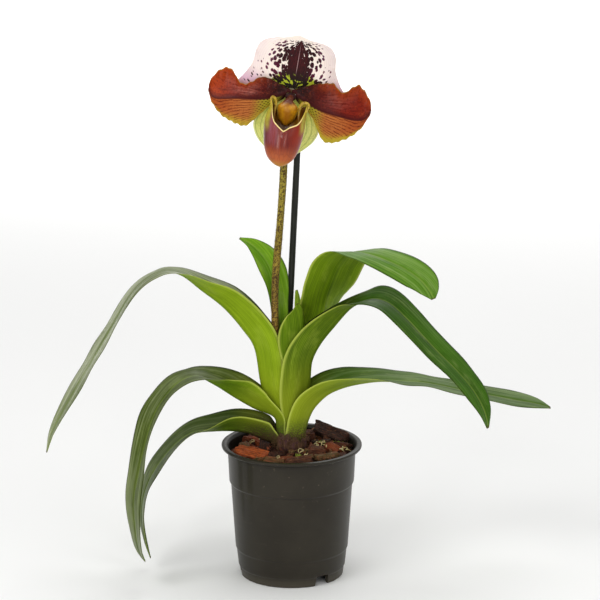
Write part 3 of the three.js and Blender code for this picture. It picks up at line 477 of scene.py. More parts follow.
# ---------- leaves ----------
# Each station along a keel: x, y, z, half width, fold of each half at the keel and at the margin,
# bearing seen from above, roll to the front (millimetres and degrees, as in the solids).
LEAVES = {
    "leaf_a": [
        [-9.6, -3, 116, 12, -12, 90, 180, 0], [-10.8, -3, 135, 13, -8, 90, 180, 0],
        [-17, -3, 152, 17, 25, 90, 180, 0], [-25, -3.5, 169, 21, 46, 86, 180, 0],
        [-30.5, -4, 202, 22.5, 60, 86, 180, -3], [-40.5, -4, 219, 22.5, 66, 86, 180, -5],
        [-57, -5, 239, 22.5, 52, 62, 180, -7], [-76, -7, 255, 22, 30, 32, 182, -10],
        [-94, -10, 269.5, 21, 10, 6, 184, -8], [-112, -14, 272, 20.5, 1, -3, 186, -6],
        [-133, -19, 257, 18.5, 4, 0, 188, -3], [-156, -25, 219, 18.5, 8, 2, 189, 1],
        [-182, -30, 175, 17, 8, 2, 190, 3], [-202, -33, 138, 11, 10, 6, 190, 3],
        [-208.5, -34, 119, 1.6, 8, 8, 190, 3],
    ],
    "leaf_b": [
        [-10.8, -3, 116, 14, -30, 90, 180, 0], [-12, -3, 132, 14.4, -24, 90, 180, 0],
        [-15, -3.5, 142, 15.6, -6, 88, 180, 0], [-31, -5, 149.5, 19.5, 48, 82, 184, 0],
        [-48, -8, 160.5, 21.2, 58, 74, 188, -1], [-65, -15, 173.8, 20, 34, 34, 193, 0],
        [-80, -22, 182.8, 18.8, 8, 6, 198, 0], [-94, -28.5, 180.2, 17.4, 10, 6, 202, 0],
        [-107, -35.5, 168.5, 16.8, 16, 12, 205, 0], [-116.5, -41.5, 153, 16.8, 20, 16, 206, 0],
        [-124, -46, 129, 16.4, 20, 16, 206, 0], [-129.4, -48.5, 105, 15.7, 14, 8, 205, 2],
        [-133.5, -49.5, 81, 15.5, 8, 2, 202, 4], [-132.5, -48.5, 54, 15.2, 8, 2, 195, 8],
        [-130, -46, 36, 12.4, 8, 4, 190, 8], [-125.5, -43, 24, 1.5, 8, 8, 190, 8],
    ],
    "leaf_c": [
        [-12, -3, 117, 15, -22, 88, 180, 0], [-17, -3, 118.8, 18, 10, 86, 180, 0],
        [-25, -3, 121.5, 21.5, 38, 80, 180, 0], [-36, -3, 126.5, 21.5, 46, 62, 180, 0],
        [-50, -3, 129, 20.5, 48, 50, 180, -1], [-67, -2, 128.5, 19.5, 30, 26, 180, 4],
        [-84, -1, 126, 18.5, 18, 14, 180, 6], [-99, 0.5, 116, 18, 12, 6, 180, 10],
        [-113, 2, 99, 17.5, 10, 4, 180, 12], [-123, 3, 81, 17, 10, 2, 180, 12],
        [-128.5, 4, 62, 16, 10, 2, 180, 12], [-129, 5, 43, 13.5, 10, 2, 180, 12],
        [-126.5, 6, 24, 8.5, 10, 6, 180, 12], [-123, 6, 10, 1.5, 8, 8, 180, 12],
    ],
    "leaf_d": [
        [-3.6, 1.4, 116, 4.4, 4, 8, 100, 0], [-4.4, 1.6, 140, 4.8, 4, 10, 100, 0],
        [-5.6, 2.2, 162, 5.4, 6, 12, 100, 0], [-7, 3.4, 185, 6, 8, 14, 100, 0],
        [-8.6, 5, 205, 6.6, 12, 18, 102, 0], [-10, 6.2, 222, 7.4, 18, 24, 106, 0],
        [-11.5, 8, 239, 9, 24, 30, 108, 0], [-13.5, 10, 252, 11.5, 26, 32, 110, 0],
        [-17.5, 13.5, 265.5, 13.4, 26, 28, 112, 0], [-24, 17, 277, 11.8, 22, 24, 112, 0],
        [-34, 20, 287, 6.8, 16, 18, 114, 0], [-44.5, 22, 292.5, 1.5, 12, 12, 118, 0],
    ],
    "leaf_e": [
        [8.6, 10.8, 116, 8, 25, 60, -40, 0], [9.2, 11.4, 140, 10, 24, 54, -40, 0],
        [10.8, 13, 165, 13, 22, 45, -40, 0], [14.5, 15, 190, 16.4, 20, 34, -46, 0],
        [21, 14.4, 212, 20, 22, 32, -52, 0], [26.5, 10.6, 231, 22, 18, 22, -56, 0],
        [29, 7, 245, 22.4, 8, 8, -60, -2], [33.6, 1.5, 260, 24, 4, 2, -64, -5],
        [40, -6, 277, 24.6, 2, 0, -64, -7], [49.5, -15, 289.5, 22, 0, -2, -58, -6],
        [62, -25, 291, 19.4, 2, 0, -50, 1], [76.5, -34, 288.6, 19.2, 4, 0, -42, 7],
        [92.5, -44, 283.6, 19.4, 4, 0, -36, 12], [107, -51, 275.4, 17.6, 6, 2, -34, 15],
        [114.5, -56, 267.5, 12, 8, 6, -34, 14], [118.5, -59, 260.5, 2.4, 8, 8, -34, 12],
    ],
    "leaf_f": [
        [8.9, -3, 116, 18, 22, 90, 0, 0], [10, -3, 135, 21, 30, 92, 0, 0],
        [12.5, -3.5, 155, 26, 38, 93, 0, 0], [15, -4.5, 174, 28, 42, 92, 0, 0],
        [16.8, -6, 192, 26.5, 44, 84, -3, 0], [24, -9, 208, 23, 50, 72, -8, -3],
        [36, -13.5, 225, 20, 46, 50, -12, -6], [49.5, -18.5, 242, 19, 24, 20, -18, -2],
        [60.5, -23.5, 249, 19, 14, 12, -22, 6], [71, -28.5, 252.5, 19.6, 11, 9, -25, 11],
        [83, -35.5, 250, 19.5, 8, 4, -26, 10], [96, -43, 240, 19, 8, 2, -27, 9],
        [109.8, -50, 226.5, 17.9, 8, 2, -27, 8], [123.6, -57, 213, 17.6, 8, 2, -27, 8],
        [138.2, -63, 199.5, 17.3, 8, 2, -26, 8], [152, -69.5, 184, 15, 8, 2, -26, 8],
        [161, -73.5, 167.5, 9.6, 8, 4, -26, 10], [164.5, -75, 153, 1.6, 8, 8, -26, 12],
    ],
    "leaf_g": [
        [10.2, -3, 116, 21.5, 18, 90, 0, 0], [11.5, -3, 130, 21.5, 20, 90, 0, 0],
        [15.5, -3, 143, 22, 30, 84, 0, 0], [21, -3, 152, 22, 40, 74, 0, 0],
        [31, -3, 161.5, 22, 40, 54, 0, 0], [44, -3, 167.5, 22, 34, 38, 0, 0],
        [58, -3, 171, 21, 28, 25, 0, 0], [76, -2, 173, 20.5, 20, 14, 0, 0],
        [95, -1, 172, 20, 12, 6, 1, 1], [113, 0, 170.4, 17.8, 10, 4, 2, 2],
        [131, 1, 166.8, 17.4, 8, 4, 2, 3], [150, 2, 162, 17.6, 8, 4, 2, 5],
        [171, 3, 158, 17.6, 8, 4, 2, 6], [192, 4, 153.5, 17.5, 8, 4, 2, 6],
        [210, 5, 150, 11.5, 8, 4, 2, 6], [222.5, 6, 146, 1.6, 8, 8, 2, 6],
    ],
    "leaf_h": [
        [-3.4, -8.1, 116, 3.4, 82, 90, 0, 0], [-2.2, -8.7, 140, 4.6, 82, 90, 0, 0],
        [3, -9.2, 160, 9, 82, 90, 0, 0], [8.4, -9.4, 183, 15, 84, 90, 0, 0],
        [10.5, -9.4, 205, 22, 83, 89, 0, 0], [10.5, -9.2, 222, 21, 80, 87, 0, 0],
        [9, -9, 236, 13, 78, 85, 0, 0], [6, -9, 243.5, 2.2, 75, 80, 0, 0],
    ],
    "leaf_i": [
        [6.6, 16, 116, 3.2, 10, 30, -60, 0], [6.8, 16, 150, 3.6, 10, 30, -60, 0],
        [6.8, 15.8, 190, 4, 10, 30, -60, 0], [6.5, 15.6, 218, 4, 10, 30, -60, 0],
        [5.6, 14.6, 238, 3.2, 10, 26, -60, 0], [4.2, 13.6, 249, 1.2, 10, 20, -60, 0],
    ],
}
# Thickness at the rib and at the margin, depth of the keel, rings between two stations, steps across
# each half, and the height of the ripple of the margins.
BLADE = {"rib": 1.3, "margin": 0.55, "keel": 0.55, "rings": 9, "steps": 12, "ripple": 0.45}
FLAT_LEAVES = ("leaf_h", "leaf_i")


def leaf_grids(stations, wave):
    """The upper and under faces of a leaf, with its across and along distances."""
    stations = np.array(stations, float)
    n = (len(stations) - 1) * BLADE["rings"] + 1
    t = np.linspace(0, 1, n)
    values = catmull(stations, t)
    tangent = unit(catmull(stations, t + 0.004)[:, :3] - catmull(stations, t - 0.004)[:, :3])
    tangent[0] = unit(catmull(stations, [0.004])[0, :3] - stations[0, :3])
    tangent[-1] = unit(stations[-1, :3] - catmull(stations, [0.996])[0, :3])
    centre, width = values[:, :3], values[:, 3]
    fold_keel, fold_margin, bearing, roll = (np.radians(values[:, k]) for k in (4, 5, 6, 7))
    right = np.cos(bearing) >= 0
    level = np.stack([-np.sin(bearing), np.cos(bearing), np.zeros(n)], 1)
    level = level * np.where(right, 1, -1)[:, None]
    side = unit(level - tangent * (level * tangent).sum(1, keepdims=True))
    up = np.where(right[:, None], np.cross(tangent, side), np.cross(side, tangent))
    lift = up * np.cos(roll)[:, None] - side * np.sin(roll)[:, None]
    across = side * np.cos(roll)[:, None] + up * np.sin(roll)[:, None]
    along = np.concatenate([[0], np.cumsum(np.linalg.norm(np.diff(centre, axis=0), axis=1))])
    steps = BLADE["steps"]
    thin = np.minimum(1, width / 8)

    def half(sign, upper):
        row, spot = [], centre.copy()
        for k in range(steps + 1):
            part = k / steps
            fold = lerp(fold_keel, fold_margin, part)[:, None]
            normal = -across * sign * np.sin(fold) + lift * np.cos(fold)
            if k == 0:
                normal = lift
            round_off = math.sqrt(max(0.0, 1 - max(0.0, (part - 0.9) / 0.1) ** 2)) * 0.85 + 0.15
            thick = lerp(BLADE["rib"], BLADE["margin"], part**0.8) * lerp(0.7, 1, thin) * round_off / 2
            rib = math.exp(-(part * 9) ** 2) * thin
            swing = np.sin(along / 9 + 1.3 * np.sin(along / 23) + sign)
            ripple = wave * part**3 * swing * smooth(t, 0.25, 0.5)
            offset = (thick - 0.45 * rib if upper else -thick - BLADE["keel"] * rib) + ripple
            row.append(spot + normal * offset[:, None])
            reach = (width / steps)[:, None]
            later = lerp(fold_keel, fold_margin, (k + 0.5) / steps)[:, None]
            spot = spot + (across * sign * np.cos(later) + lift * np.sin(later)) * reach
        return row

    faces = [np.stack(half(-1, upper)[1:][::-1] + half(1, upper), 1) for upper in (True, False)]
    cols = 2 * steps + 1
    edge = np.linspace(-1, 1, cols)[None] * np.ones((n, 1))
    fields = {"edge": edge, "across": edge * width[:, None],
              "along": np.repeat(along[:, None], cols, 1), "t": np.repeat(t[:, None], cols, 1)}
    return faces[0], faces[1], fields


def leaf_looks(name, upper, upper_deep, under, under_deep, gloss, painted_sheen=0.0, painted_shade=None):
    m = Looks(name, specular=0.07, gleam="#eef2a0")
    across, along, edge, side, t = (m.field(k) for k in ("across", "along", "edge", "side", "t"))
    height = m.parts()[2]
    streak = m.streaks((across * 0.9, along * 0.012, 3.1), 4, 0.6)
    broad = m.streaks((across * 0.16, along * 0.012, 7.7), 3, 0.5)
    patch = m.noise(26, 3, 0.6)
    fine = m.wave(across * 4.6 + streak * 5.0)
    shade = streak.step(0.38, 0.62) * 0.45 + broad.step(0.34, 0.66) * 0.55
    top = m.layers(upper_deep, (shade, upper), (fine * 0.1, "#a8bc62"))
    low = m.layers(under_deep, (shade, under), (fine * 0.12, "#c4cf50"))
    # A light rib runs down the upper face, and painted shade darkens a furrow on each side of the keel
    # below.
    rib = abs(across).step(0.25, 1.3, 0.0, start=1.0)
    top = m.mix(rib * 0.4, top, "#9cb454")
    beside = abs(abs(across) - 1.6).step(0.2, 1.2, 0.0, start=0.45)
    low = m.mix(beside, low, under_deep)
    # Painted sheen: whitish-grey patches of painted reflection over the upper face, as strong as the leaf's
    # sheen number.
    top = m.mix(broad.step(0.42, 0.6) * painted_sheen, top, "#c6cbb0")
    # Long dark stripes, and pale stripes of painted reflection, both strongest on the leaves with the most
    # painted sheen.
    stripes = m.streaks((across * 0.5, along * 0.004, 5.5), 2, 0.6)
    top = m.layers(
        top,
        (stripes.step(0.5, 0.6, 0.3 + 0.5 * painted_sheen), m.mix(0.5, upper_deep, "#101808")),
        (stripes.step(0.42, 0.34, 0.1 + 0.6 * painted_sheen), "#c4cca0"))
    # Painted shade over the blade from a fifth to half way along, where a leaf is given it.
    if painted_shade:
        top = m.mix(t.step(0.2, 0.3) * t.step(0.5, 0.4, 0.7), top, painted_shade)
    colour = m.layers(
        low,
        (side, top),
        (patch.step(0.38, 0.68) * 0.32, m.mix(side, under_deep, upper_deep)))
    blotch = m.streaks((across * 0.11, along * 0.035, 2.2), 4, 0.7)
    colour = m.layers(
        colour,
        (blotch.step(0.52, 0.72, 0.18), m.mix(side, "#b4c848", "#a4b46c")),
        (blotch.step(0.46, 0.3, 0.35), m.mix(side, under_deep, upper_deep)))
    # Lighter and yellower towards the foot, brown-purple and flecked where it leaves the old sheaths.
    young = t.step(0.34, 0.2)
    foot_tint = young * (height.step(0.21, 0.15) * height.step(0.128, 0.146))
    colour = m.mix(foot_tint * 0.35, colour, "#a4ac24")
    flecks = m.noise(900, 2, 0.6)
    foot = young * height.step(0.147, 0.122)
    colour = m.layers(
        colour,
        (foot * flecks.step(0.36, 0.56), "#4a342a"),
        (young * height.step(0.134, 0.118, 0.65), "#4c3828"))
    # The margin, pale below and dark above, and the tip, which dries a little.
    colour = m.layers(
        colour,
        (abs(edge).step(0.88, 0.98, 0.65), m.mix(side, "#bcc858", "#1c240c")),
        (t.step(0.982, 0.996, 0.8), "#4c4020"))
    rough = side.step(0.2, 0.8, gloss, start=0.5) + patch * 0.12
    bumps = ((fine, 0.14, 0.0003), (broad, 0.34, 0.0014), (m.noise(160, 2, 0.5), 0.06, 0.0006))
    return m.finish(colour, rough, bumps)


# Colours of the upper face, light and deep, and of the under face, light and deep; then the
# roughness above, how much painted sheen lies on the upper face, and a painted shade low on the blade.
LEAF_LOOKS = {
    "leaf_a": ("#8f9670", "#5c6840", "#8eaa1c", "#68840c", 0.28, 0.45),
    "leaf_b": ("#5e6c30", "#364416", "#62860e", "#3c5c06", 0.28, 0.12),
    "leaf_c": ("#52622c", "#2c3e14", "#587412", "#344c08", 0.30, 0.08),
    "leaf_d": ("#86ae24", "#4e800e", "#86a81c", "#567c0e", 0.34),
    "leaf_e": ("#669022", "#3c6a10", "#70900a", "#486606", 0.28, 0.06),
    "leaf_f": ("#3e6c14", "#244808", "#5e7a12", "#3a540a", 0.26, 0.0, "#2e2c10"),
    "leaf_g": ("#4e7222", "#345018", "#8a9e2a", "#627a16", 0.32, 0.1),
    "leaf_h": ("#5e7e0c", "#3e5c06", "#5e7e0c", "#3e5c06", 0.34),
    "leaf_i": ("#a8c43c", "#86a428", "#a8c43c", "#86a428", 0.38),
}
for leaf_name, stations in LEAVES.items():
    ripple = 0.0 if leaf_name in FLAT_LEAVES else BLADE["ripple"]
    leaf = fine_piece(leaf_name, *sandwich(*leaf_grids(stations, ripple)))
    dress(leaf, leaf_looks(leaf_name + "_skin", *LEAF_LOOKS[leaf_name]))


# ---------- flower ----------
# Built in its own upright frame (x right, z up, -y to the front), then rolled and set on its stem.
FLOWER = {"centre": (-0.4, -14, 426.4), "roll": 8, "droop": 2.5, "sheet": 1.1}
WARM_GLEAM = "#ffd8c8"


def in_bloom(extra=0.0):
    """Takes points of the flower's own frame to the row frame, in mm, with an extra roll if asked."""
    def place(p):
        for turn in (math.radians(extra), math.radians(FLOWER["roll"])):
            x, y, z = np.moveaxis(p, -1, 0)
            sine, cosine = math.sin(turn), math.cos(turn)
            p = np.stack([x * cosine + z * sine, y, z * cosine - x * sine], -1)
        return p + np.array(FLOWER["centre"])
    return place


# Heights of each petal's upper edge, middle ridge and lower edge at each distance out,
# left (-1) and right (1).
PETAL = {
    "reach": 68.6, "rows": 130, "cols": 61,
    "out": [0.4, 3.4, 5.2, 10, 16, 22, 28, 34, 40, 45, 50, 55, 60, 64, 67, 68.6],
    -1: {
        "top": [3.2, 4.4, 5, 6.6, 9, 10.2, 9.2, 5.2, 2.9, 5.2, 11.4, 13, 11, 7.7, 3.4, -2],
        "mid": [1.6, 1.2, -0.8, -3.4, -5.8, -7.2, -8.2, -8.8, -9.4, -10, -11, -12, -12.8, -12.2,
                -9, -5],
        "low": [0.6, 0.5, -4.6, -8.4, -12.4, -19.4, -27.2, -33.2, -32.8, -31.4, -29.4, -26.8, -22.2, -17.4,
                -11.6, -8],
    },
    1: {
        "top": [3.2, 4.6, 5.4, 7.6, 10.2, 11.7, 13, 14, 9.2, 9, 13.2, 15.4, 12, 8, 3.4, -2],
        "mid": [1.6, 1.2, -0.8, -3.6, -5.9, -8, -9.7, -10.6, -11.3, -11.8, -12.5, -12.8, -12.4, -11,
                -7.4, -4],
        "low": [0.6, 0.5, -4.6, -8.4, -12, -18, -28, -35.8, -36.2, -34.8, -32, -28.6, -23.6, -17.6,
                -10.5, -6],
    },
}
EDGE_HAIRS = {"count": 620, "least": 0.4, "most": 1.3, "width": 0.07, "seed": 3}


def petal_grid(sign):
    t, v = spread(PETAL)
    v = v * sign
    (out,), (top, mid, low) = read(PETAL, t, "out"), read(PETAL[sign], t, "top", "mid", "low")
    off = np.abs(v) * (np.where(v > 0, top, low) - mid)
    wide = np.sin(math.pi / 2 * np.minimum(1, out / 62))
    back = 0.26 * (np.sqrt(off**2 + 1.0) - 1.0)
    wave = np.where(v > 0.4, -4.2 * (v - 0.4) * np.cos((out - 40) / 15 * math.pi) * wide, 0)
    crimp = np.sin(out * 0.95 + 0.8 * np.sin(out * 0.31))
    frill = np.where(v > 0, 0.9, 0.6) * np.abs(v) ** 4 * crimp * wide
    reach = PETAL["reach"]
    sweep = -3.5 * np.sin(math.pi * out / reach) + 3 * (out / reach) ** 2
    sweep = sweep - 0.9 * np.maximum(0, 1 - out / 12)
    y = -2 + sweep + back + wave + frill
    lift = 0.5 * np.abs(v) ** 5 * np.sin(out * 1.15 + sign) * wide
    grid = np.stack([sign * out + 0 * v, y, mid + off + lift], -1)
    fields = {"out": out + 0 * v, "v": v + 0 * out, "off": off + 0 * out}
    return grid, fields


def petal_looks(name, tip_from, tip, painted_shine, yellow):
    m = Looks(name, coat=0.1, specular=0.08, gleam=WARM_GLEAM, coat_roughness=0.22)
    out, v, off, side = (m.field(k) for k in ("out", "v", "off", "side"))
    ray = off / (out * 0.5 + 4.0)
    grain = m.noise(700, 3, 0.6)
    streak = m.streaks((ray * 16.0, out * 0.05, 1.5), 4, 0.65)
    mottled = m.noise(170, 3, 0.6)
    # Upper half: near black at the heart, mahogany, then orange-red at the tip and along the edge.
    dark = m.layers(
        "#180406",
        (out.step(8, 30), "#54100c"),
        (out.step(26, 50), "#761a0c"),
        (out.step(tip_from, 68), tip),
        (streak.step(0.45, 0.72, 0.65), "#360808"),
        (mottled.step(0.55, 0.8, 0.2), "#b0562a"),
        (v.step(0.5, 0.95) * out.step(14, 34, 0.45), "#ac420e"))
    # A painted rosy highlight over the middle of the upper half, as strong as the shine argument says.
    painted_sheen_patch = out.step(22, 36) * out.step(58, 42)
    painted_sheen_patch = painted_sheen_patch * v.step(0.15, 0.4) * v.step(0.9, 0.6)
    dark = m.layers(
        dark,
        (painted_sheen_patch * streak.step(0.62, 0.36, painted_shine), "#b46a5c"),
        (grain.step(0.5, 0.66, 0.5), "#2e0606"),
        (grain.step(0.46, 0.32, 0.3), m.mix(0.5, tip, "#8a3a2a")))
    # Lower half: copper, ruled with dark lines that fan out and break into dots near the heart.
    fan = ray * 62.0 + m.streaks((ray * 3.0, out * 0.11, 0.6), 2, 0.5) * 9.0
    lines = m.wave(fan)
    beads = m.sum("SINE", out * 2.1 + m.sum("FLOOR", fan * 0.159) * 2.4)
    broken = m.streaks((ray * 30.0, out * 0.22, 8.0), 2, 0.6)
    pale = m.layers(
        "#a89a26",
        (out.step(12, 30), "#b66a32"),
        (out.step(36, 60), "#a64e1e"),
        (v.step(-0.55, -0.98) * out.step(60, 40, 0.9, start=0.35), "#bf9a2e"),
        (mottled.step(0.4, 0.75, 0.35), "#8a3c18"))
    ruled = lines.step(0.55, 0.95) * broken.step(0.38, 0.56, 0.85, start=0.05)
    specks = m.streaks((ray * 60.0, out * 0.9, 3.0), 2, 0.6)
    pale = m.mix(specks.step(0.5, 0.66, 0.55), pale, "#74300f")
    ruled = ruled * v.step(-0.98, -0.8, start=0.4)
    lower = m.mix(ruled, pale, "#5a1c0c")
    dotted = lines.step(0.35, 0.7) * beads.step(-0.1, 0.4)
    near = out.step(34, 18)
    lower = m.mix(near * v.step(-0.95, -0.7), lower, m.mix(dotted, "#a09428", "#280a08"))
    fringe = m.streaks((out * 0.28, off * 0.12, 6.0), 3, 0.6)
    fringe = (v - fringe * 0.4).step(-0.94, -1.12) * out.step(18, 28)
    lower = m.layers(
        lower,
        (fringe * out.step(66, 54, yellow, start=0.2), "#b0a02c"),
        (out.step(12, 6), "#240a0a"))
    colour = m.mix(off.step(-0.8, 0.5), lower, dark)
    ridge = off.step(-0.9, 0.1) * off.step(5.0, 0.6, 0.8)
    colour = m.mix(ridge, colour, "#3a090c")
    rim = abs(v).step(0.94, 0.985)
    rim_part = out.step(20, 40, start=0.15) * v.step(-0.2, 0.2, 0.25, start=0.95)
    colour = m.mix(rim * rim_part, colour, "#b8a22c")
    behind = m.mix(streak.step(0.4, 0.7), "#a9823e", "#8a5a30")
    colour = m.mix(side.step(0.4, 0.6, 0.0, start=0.8), colour, behind)
    rough = v.step(-0.1, 0.1, 0.3, start=0.46) + grain * 0.14
    return m.finish(colour, rough, (
        (streak, 0.4, 0.0007), (lines, 0.18, 0.0003), (grain, 0.14, 0.0003)))


petal_place = {-1: in_bloom(), 1: in_bloom(FLOWER["droop"])}
petal_skin = {-1: petal_looks("petal_left_skin", 44, "#a63a10", 0.6, 0.35),
              1: petal_looks("petal_right_skin", 54, "#7c1e08", 0.22, 0.8)}
hair_skin = two_toned("pale_hair", 200, "#c8bd70", "#8a6a3a", roughness=0.6)
for sign, petal_name in ((-1, "petal_left"), (1, "petal_right")):
    grid, fields = petal_grid(sign)
    thick = FLOWER["sheet"] * thinned(fields["v"], 0.35, 6)
    thick = thick * (1 - 0.5 * smooth(fields["out"], 62, PETAL["reach"]))
    dress(blade(petal_name, grid, thick, fields, petal_place[sign]), petal_skin[sign])
    rng = np.random.default_rng(SEEDS["petal"] + sign)
    count, last = EDGE_HAIRS["count"], PETAL["cols"] - 1
    picks = rng.integers(30, PETAL["rows"] - 2, count)
    edges = rng.integers(0, 2, count) * last
    roots = grid[picks, edges] + rng.normal(size=(count, 3)) * 0.1
    outward = unit(grid[picks, edges] - grid[picks, np.where(edges == 0, 8, last - 8)])
    ways = outward + rng.normal(size=(count, 3)) * 0.35
    lengths = rng.uniform(EDGE_HAIRS["least"], EDGE_HAIRS["most"], count)
    points, faces = hairs(roots, ways, lengths, EDGE_HAIRS["width"], seed=EDGE_HAIRS["seed"])
    dress(make_piece(petal_name + "_hairs", petal_place[sign](points), faces, petal_name), hair_skin)


DORSAL = {
    "height": [3.6, 5.4, 8, 12, 17, 23, 29, 35, 41, 45.6, 48.4],
    "width": [3.4, 20, 38, 46, 40.5, 35.5, 34.2, 33.6, 31, 26, 15],
    "drop": [11, 11, 10.8, 10, 8.4, 5.2, 3.8, 3.4, 3.2, 3.2, 3.2],
    # The tip and the foot of the fan of veins, as x + z j; the middle line; the size of the grid.
    "tip": 2.6 + 46.5j, "foot": 1.6 + 1.5j, "middle": 2, "rows": 120, "cols": 181,
}


def vein_lanes(x, z):
    """How far out the vein through a point bows at half height, and how far along it lies, in mm.

    The veins spread from the foot of the sepal and close again at its tip.
    """
    tip, foot = DORSAL["tip"], DORSAL["foot"]
    half = abs(tip - foot) / 2
    turned_up = 1j * abs(tip - foot) / (tip - foot)
    spot = ((x + 1j * z) - (tip + foot) / 2) * turned_up
    ratio = np.log((spot + 1j * half + 1e-6) / (spot - 1j * half + 1e-6))
    least = 0.3 * np.sign(x - 2.2 + 1e-6)
    lane = half / np.tan(np.where(np.abs(ratio.imag) < 0.3, least, ratio.imag) / 2)
    bow = np.minimum(np.abs(lane), 32)
    return -lane, ratio.real * (half**2 + bow**2) / (2 * half)


def dorsal_grid():
    t, v = spread(DORSAL, 1)
    h, w, drop = read(DORSAL, t, "height", "width", "drop")
    far = np.abs(v)
    rise = h / DORSAL["height"][-1]
    flank = np.maximum(0, far - 0.62)
    lobes = 1.5 * np.sin(math.pi * 3 * v) * rise
    x = w * v
    z = h + 2.2 * rise**4 * (1 - far) ** 2 - 2 * rise**3 * far**1.6 - drop * (np.abs(x) / 40) ** 1.3
    lane, along = vein_lanes(x, z)
    folds = 0.16 * np.cos(lane * 1.9) * smooth(h, 8, 20) * fade(h, 36, 44) * fade(far, 0.6, 0.8)
    edge_wave = 0.9 * smooth(far, 0.8, 1.0) * np.sin(h * 0.55 + 2 * v)
    y = 3.6 + 0.1 * np.abs(x) - 9 * rise**2 + 34 * flank**1.6 + lobes * flank + folds + edge_wave
    # How large the spots are: over the face, near the foot, and along the sides.
    bow = np.abs(lane)
    aside = np.abs(x - DORSAL["middle"])
    face = (0.62 - 0.012 * bow) * fade(bow, 25, 31) * fade(z, 44, 47.5) * fade(far, 0.64, 0.78)
    foot = lerp(0.74, 0.56, smooth(aside, 4, 13)) * fade(z, 14, 22) * fade(aside, 20, 27)
    sides = 0.19 * smooth(np.abs(x), 16, 24) * fade(z, 20, 30) * fade(far, 0.84, 0.94)
    fields = {
        "x": x - DORSAL["middle"], "z": z + 0 * v, "v": v + 0 * h, "bow": bow,
        "size": np.maximum(np.maximum(face, foot), sides),
        "green": fade(np.hypot((x - DORSAL["middle"]) * 0.66, z - 4), 9, 18),
    }
    return np.stack([x, y, z], -1), fields, np.stack([lane, along, 0 * lane], -1)


def dorsal_looks():
    m = Looks("dorsal_skin", roughness=0.55, specular=0.18, subsurface=0.08)
    names = ("x", "z", "v", "size", "bow", "green", "side")
    x, z, v, size, bow, green, side = (m.field(name) for name in names)
    lane, along, _ = m.parts(m.field("lanes", "Vector"))
    # Dark spots in rows along the veins, each row about 3 mm from the next.
    rough_edge = (m.noise(900, 2, 0.5) - 0.5) * 0.42
    place = (lane * 0.29 + rough_edge, along * 0.19 + rough_edge)
    spots, chance = m.speckles(place, 0.8)
    wanted = size * (chance * 0.75 + 0.62)
    spot = (wanted - spots).step(-0.03, 0.03) * chance.step(0.1, 0.11)
    # The dark flame, frayed along the veins.
    rays = m.streaks((lane * 0.42, along * 0.055, 5.0), 2, 0.5)
    nicks = m.streaks((lane * 0.7, along * 0.26, 2.0), 2, 0.5)
    reach = along.step(6.0, -14.0, 14.0, start=8.6)
    heart = reach - bow + (rays - 0.5) * 18.0 + (nicks - 0.5) * 10.0
    burn = heart.step(0.2, 0.9) * (z - nicks * 8.0).step(8, 12)
    tint = m.layers(
        "#f4e8dc",
        (abs(v).step(0.45, 0.95, 0.5), "#eed8da"),
        (z.step(18, 4) * abs(x).step(18, 34), "#dab4c8"))
    veins = m.wave(lane * 3.6)
    tint = m.mix(veins**3.0 * 0.14, tint, "#c98fa5")
    ground = m.mix((green + nicks * 0.5).step(0.55, 0.85), tint, "#a8b22a")
    far = bow.step(15, 27)
    ink = m.layers(
        "#2c040a",
        (far, "#6c3450"),
        (z.step(28, 20) * bow.step(8, 16, 0.6), "#5c0c34"),
        (z.step(17, 9), "#180c06"))
    colour = m.mix(spot, ground, ink)
    wine = m.layers("#160c08", (z.step(10, 24), "#3e060c"), (nicks.step(0.42, 0.62, 0.8), "#220408"))
    colour = m.mix(burn, colour, wine)
    slit = abs(lane).step(0.42, 0.14) * z.step(14, 22)
    colour = m.mix(slit * z.step(45, 38, 0.75), colour, "#c9a2a2")
    behind = m.mix(0.3, ground, colour)
    colour = m.mix(side, behind, colour)
    grain = m.noise(500, 3, 0.6)
    rough = 0.55 - burn * 0.12
    return m.finish(colour, rough, ((veins, 0.15, 0.0004), (grain, 0.12, 0.0003), (spot, 0.10, 0.0003)))


grid, fields, lanes = dorsal_grid()
thick = FLOWER["sheet"] * thinned(fields["v"], 0.4, 8)
thick = thick * (1 - 0.5 * smooth(at_each(DORSAL["rows"]), 0.94, 1))
dress(blade("dorsal_sepal", grid, thick, dict(fields, lanes=lanes), in_bloom()), dorsal_looks())


SYNSEPAL = {
    "height": [-5.2, -6.4, -10, -17, -25, -33, -41, -48, -53.4, -56],
    "width": [3.2, 9, 16, 22.5, 26.5, 27.5, 24, 17.5, 10, 2.4],
    "rows": 80, "cols": 71,
}


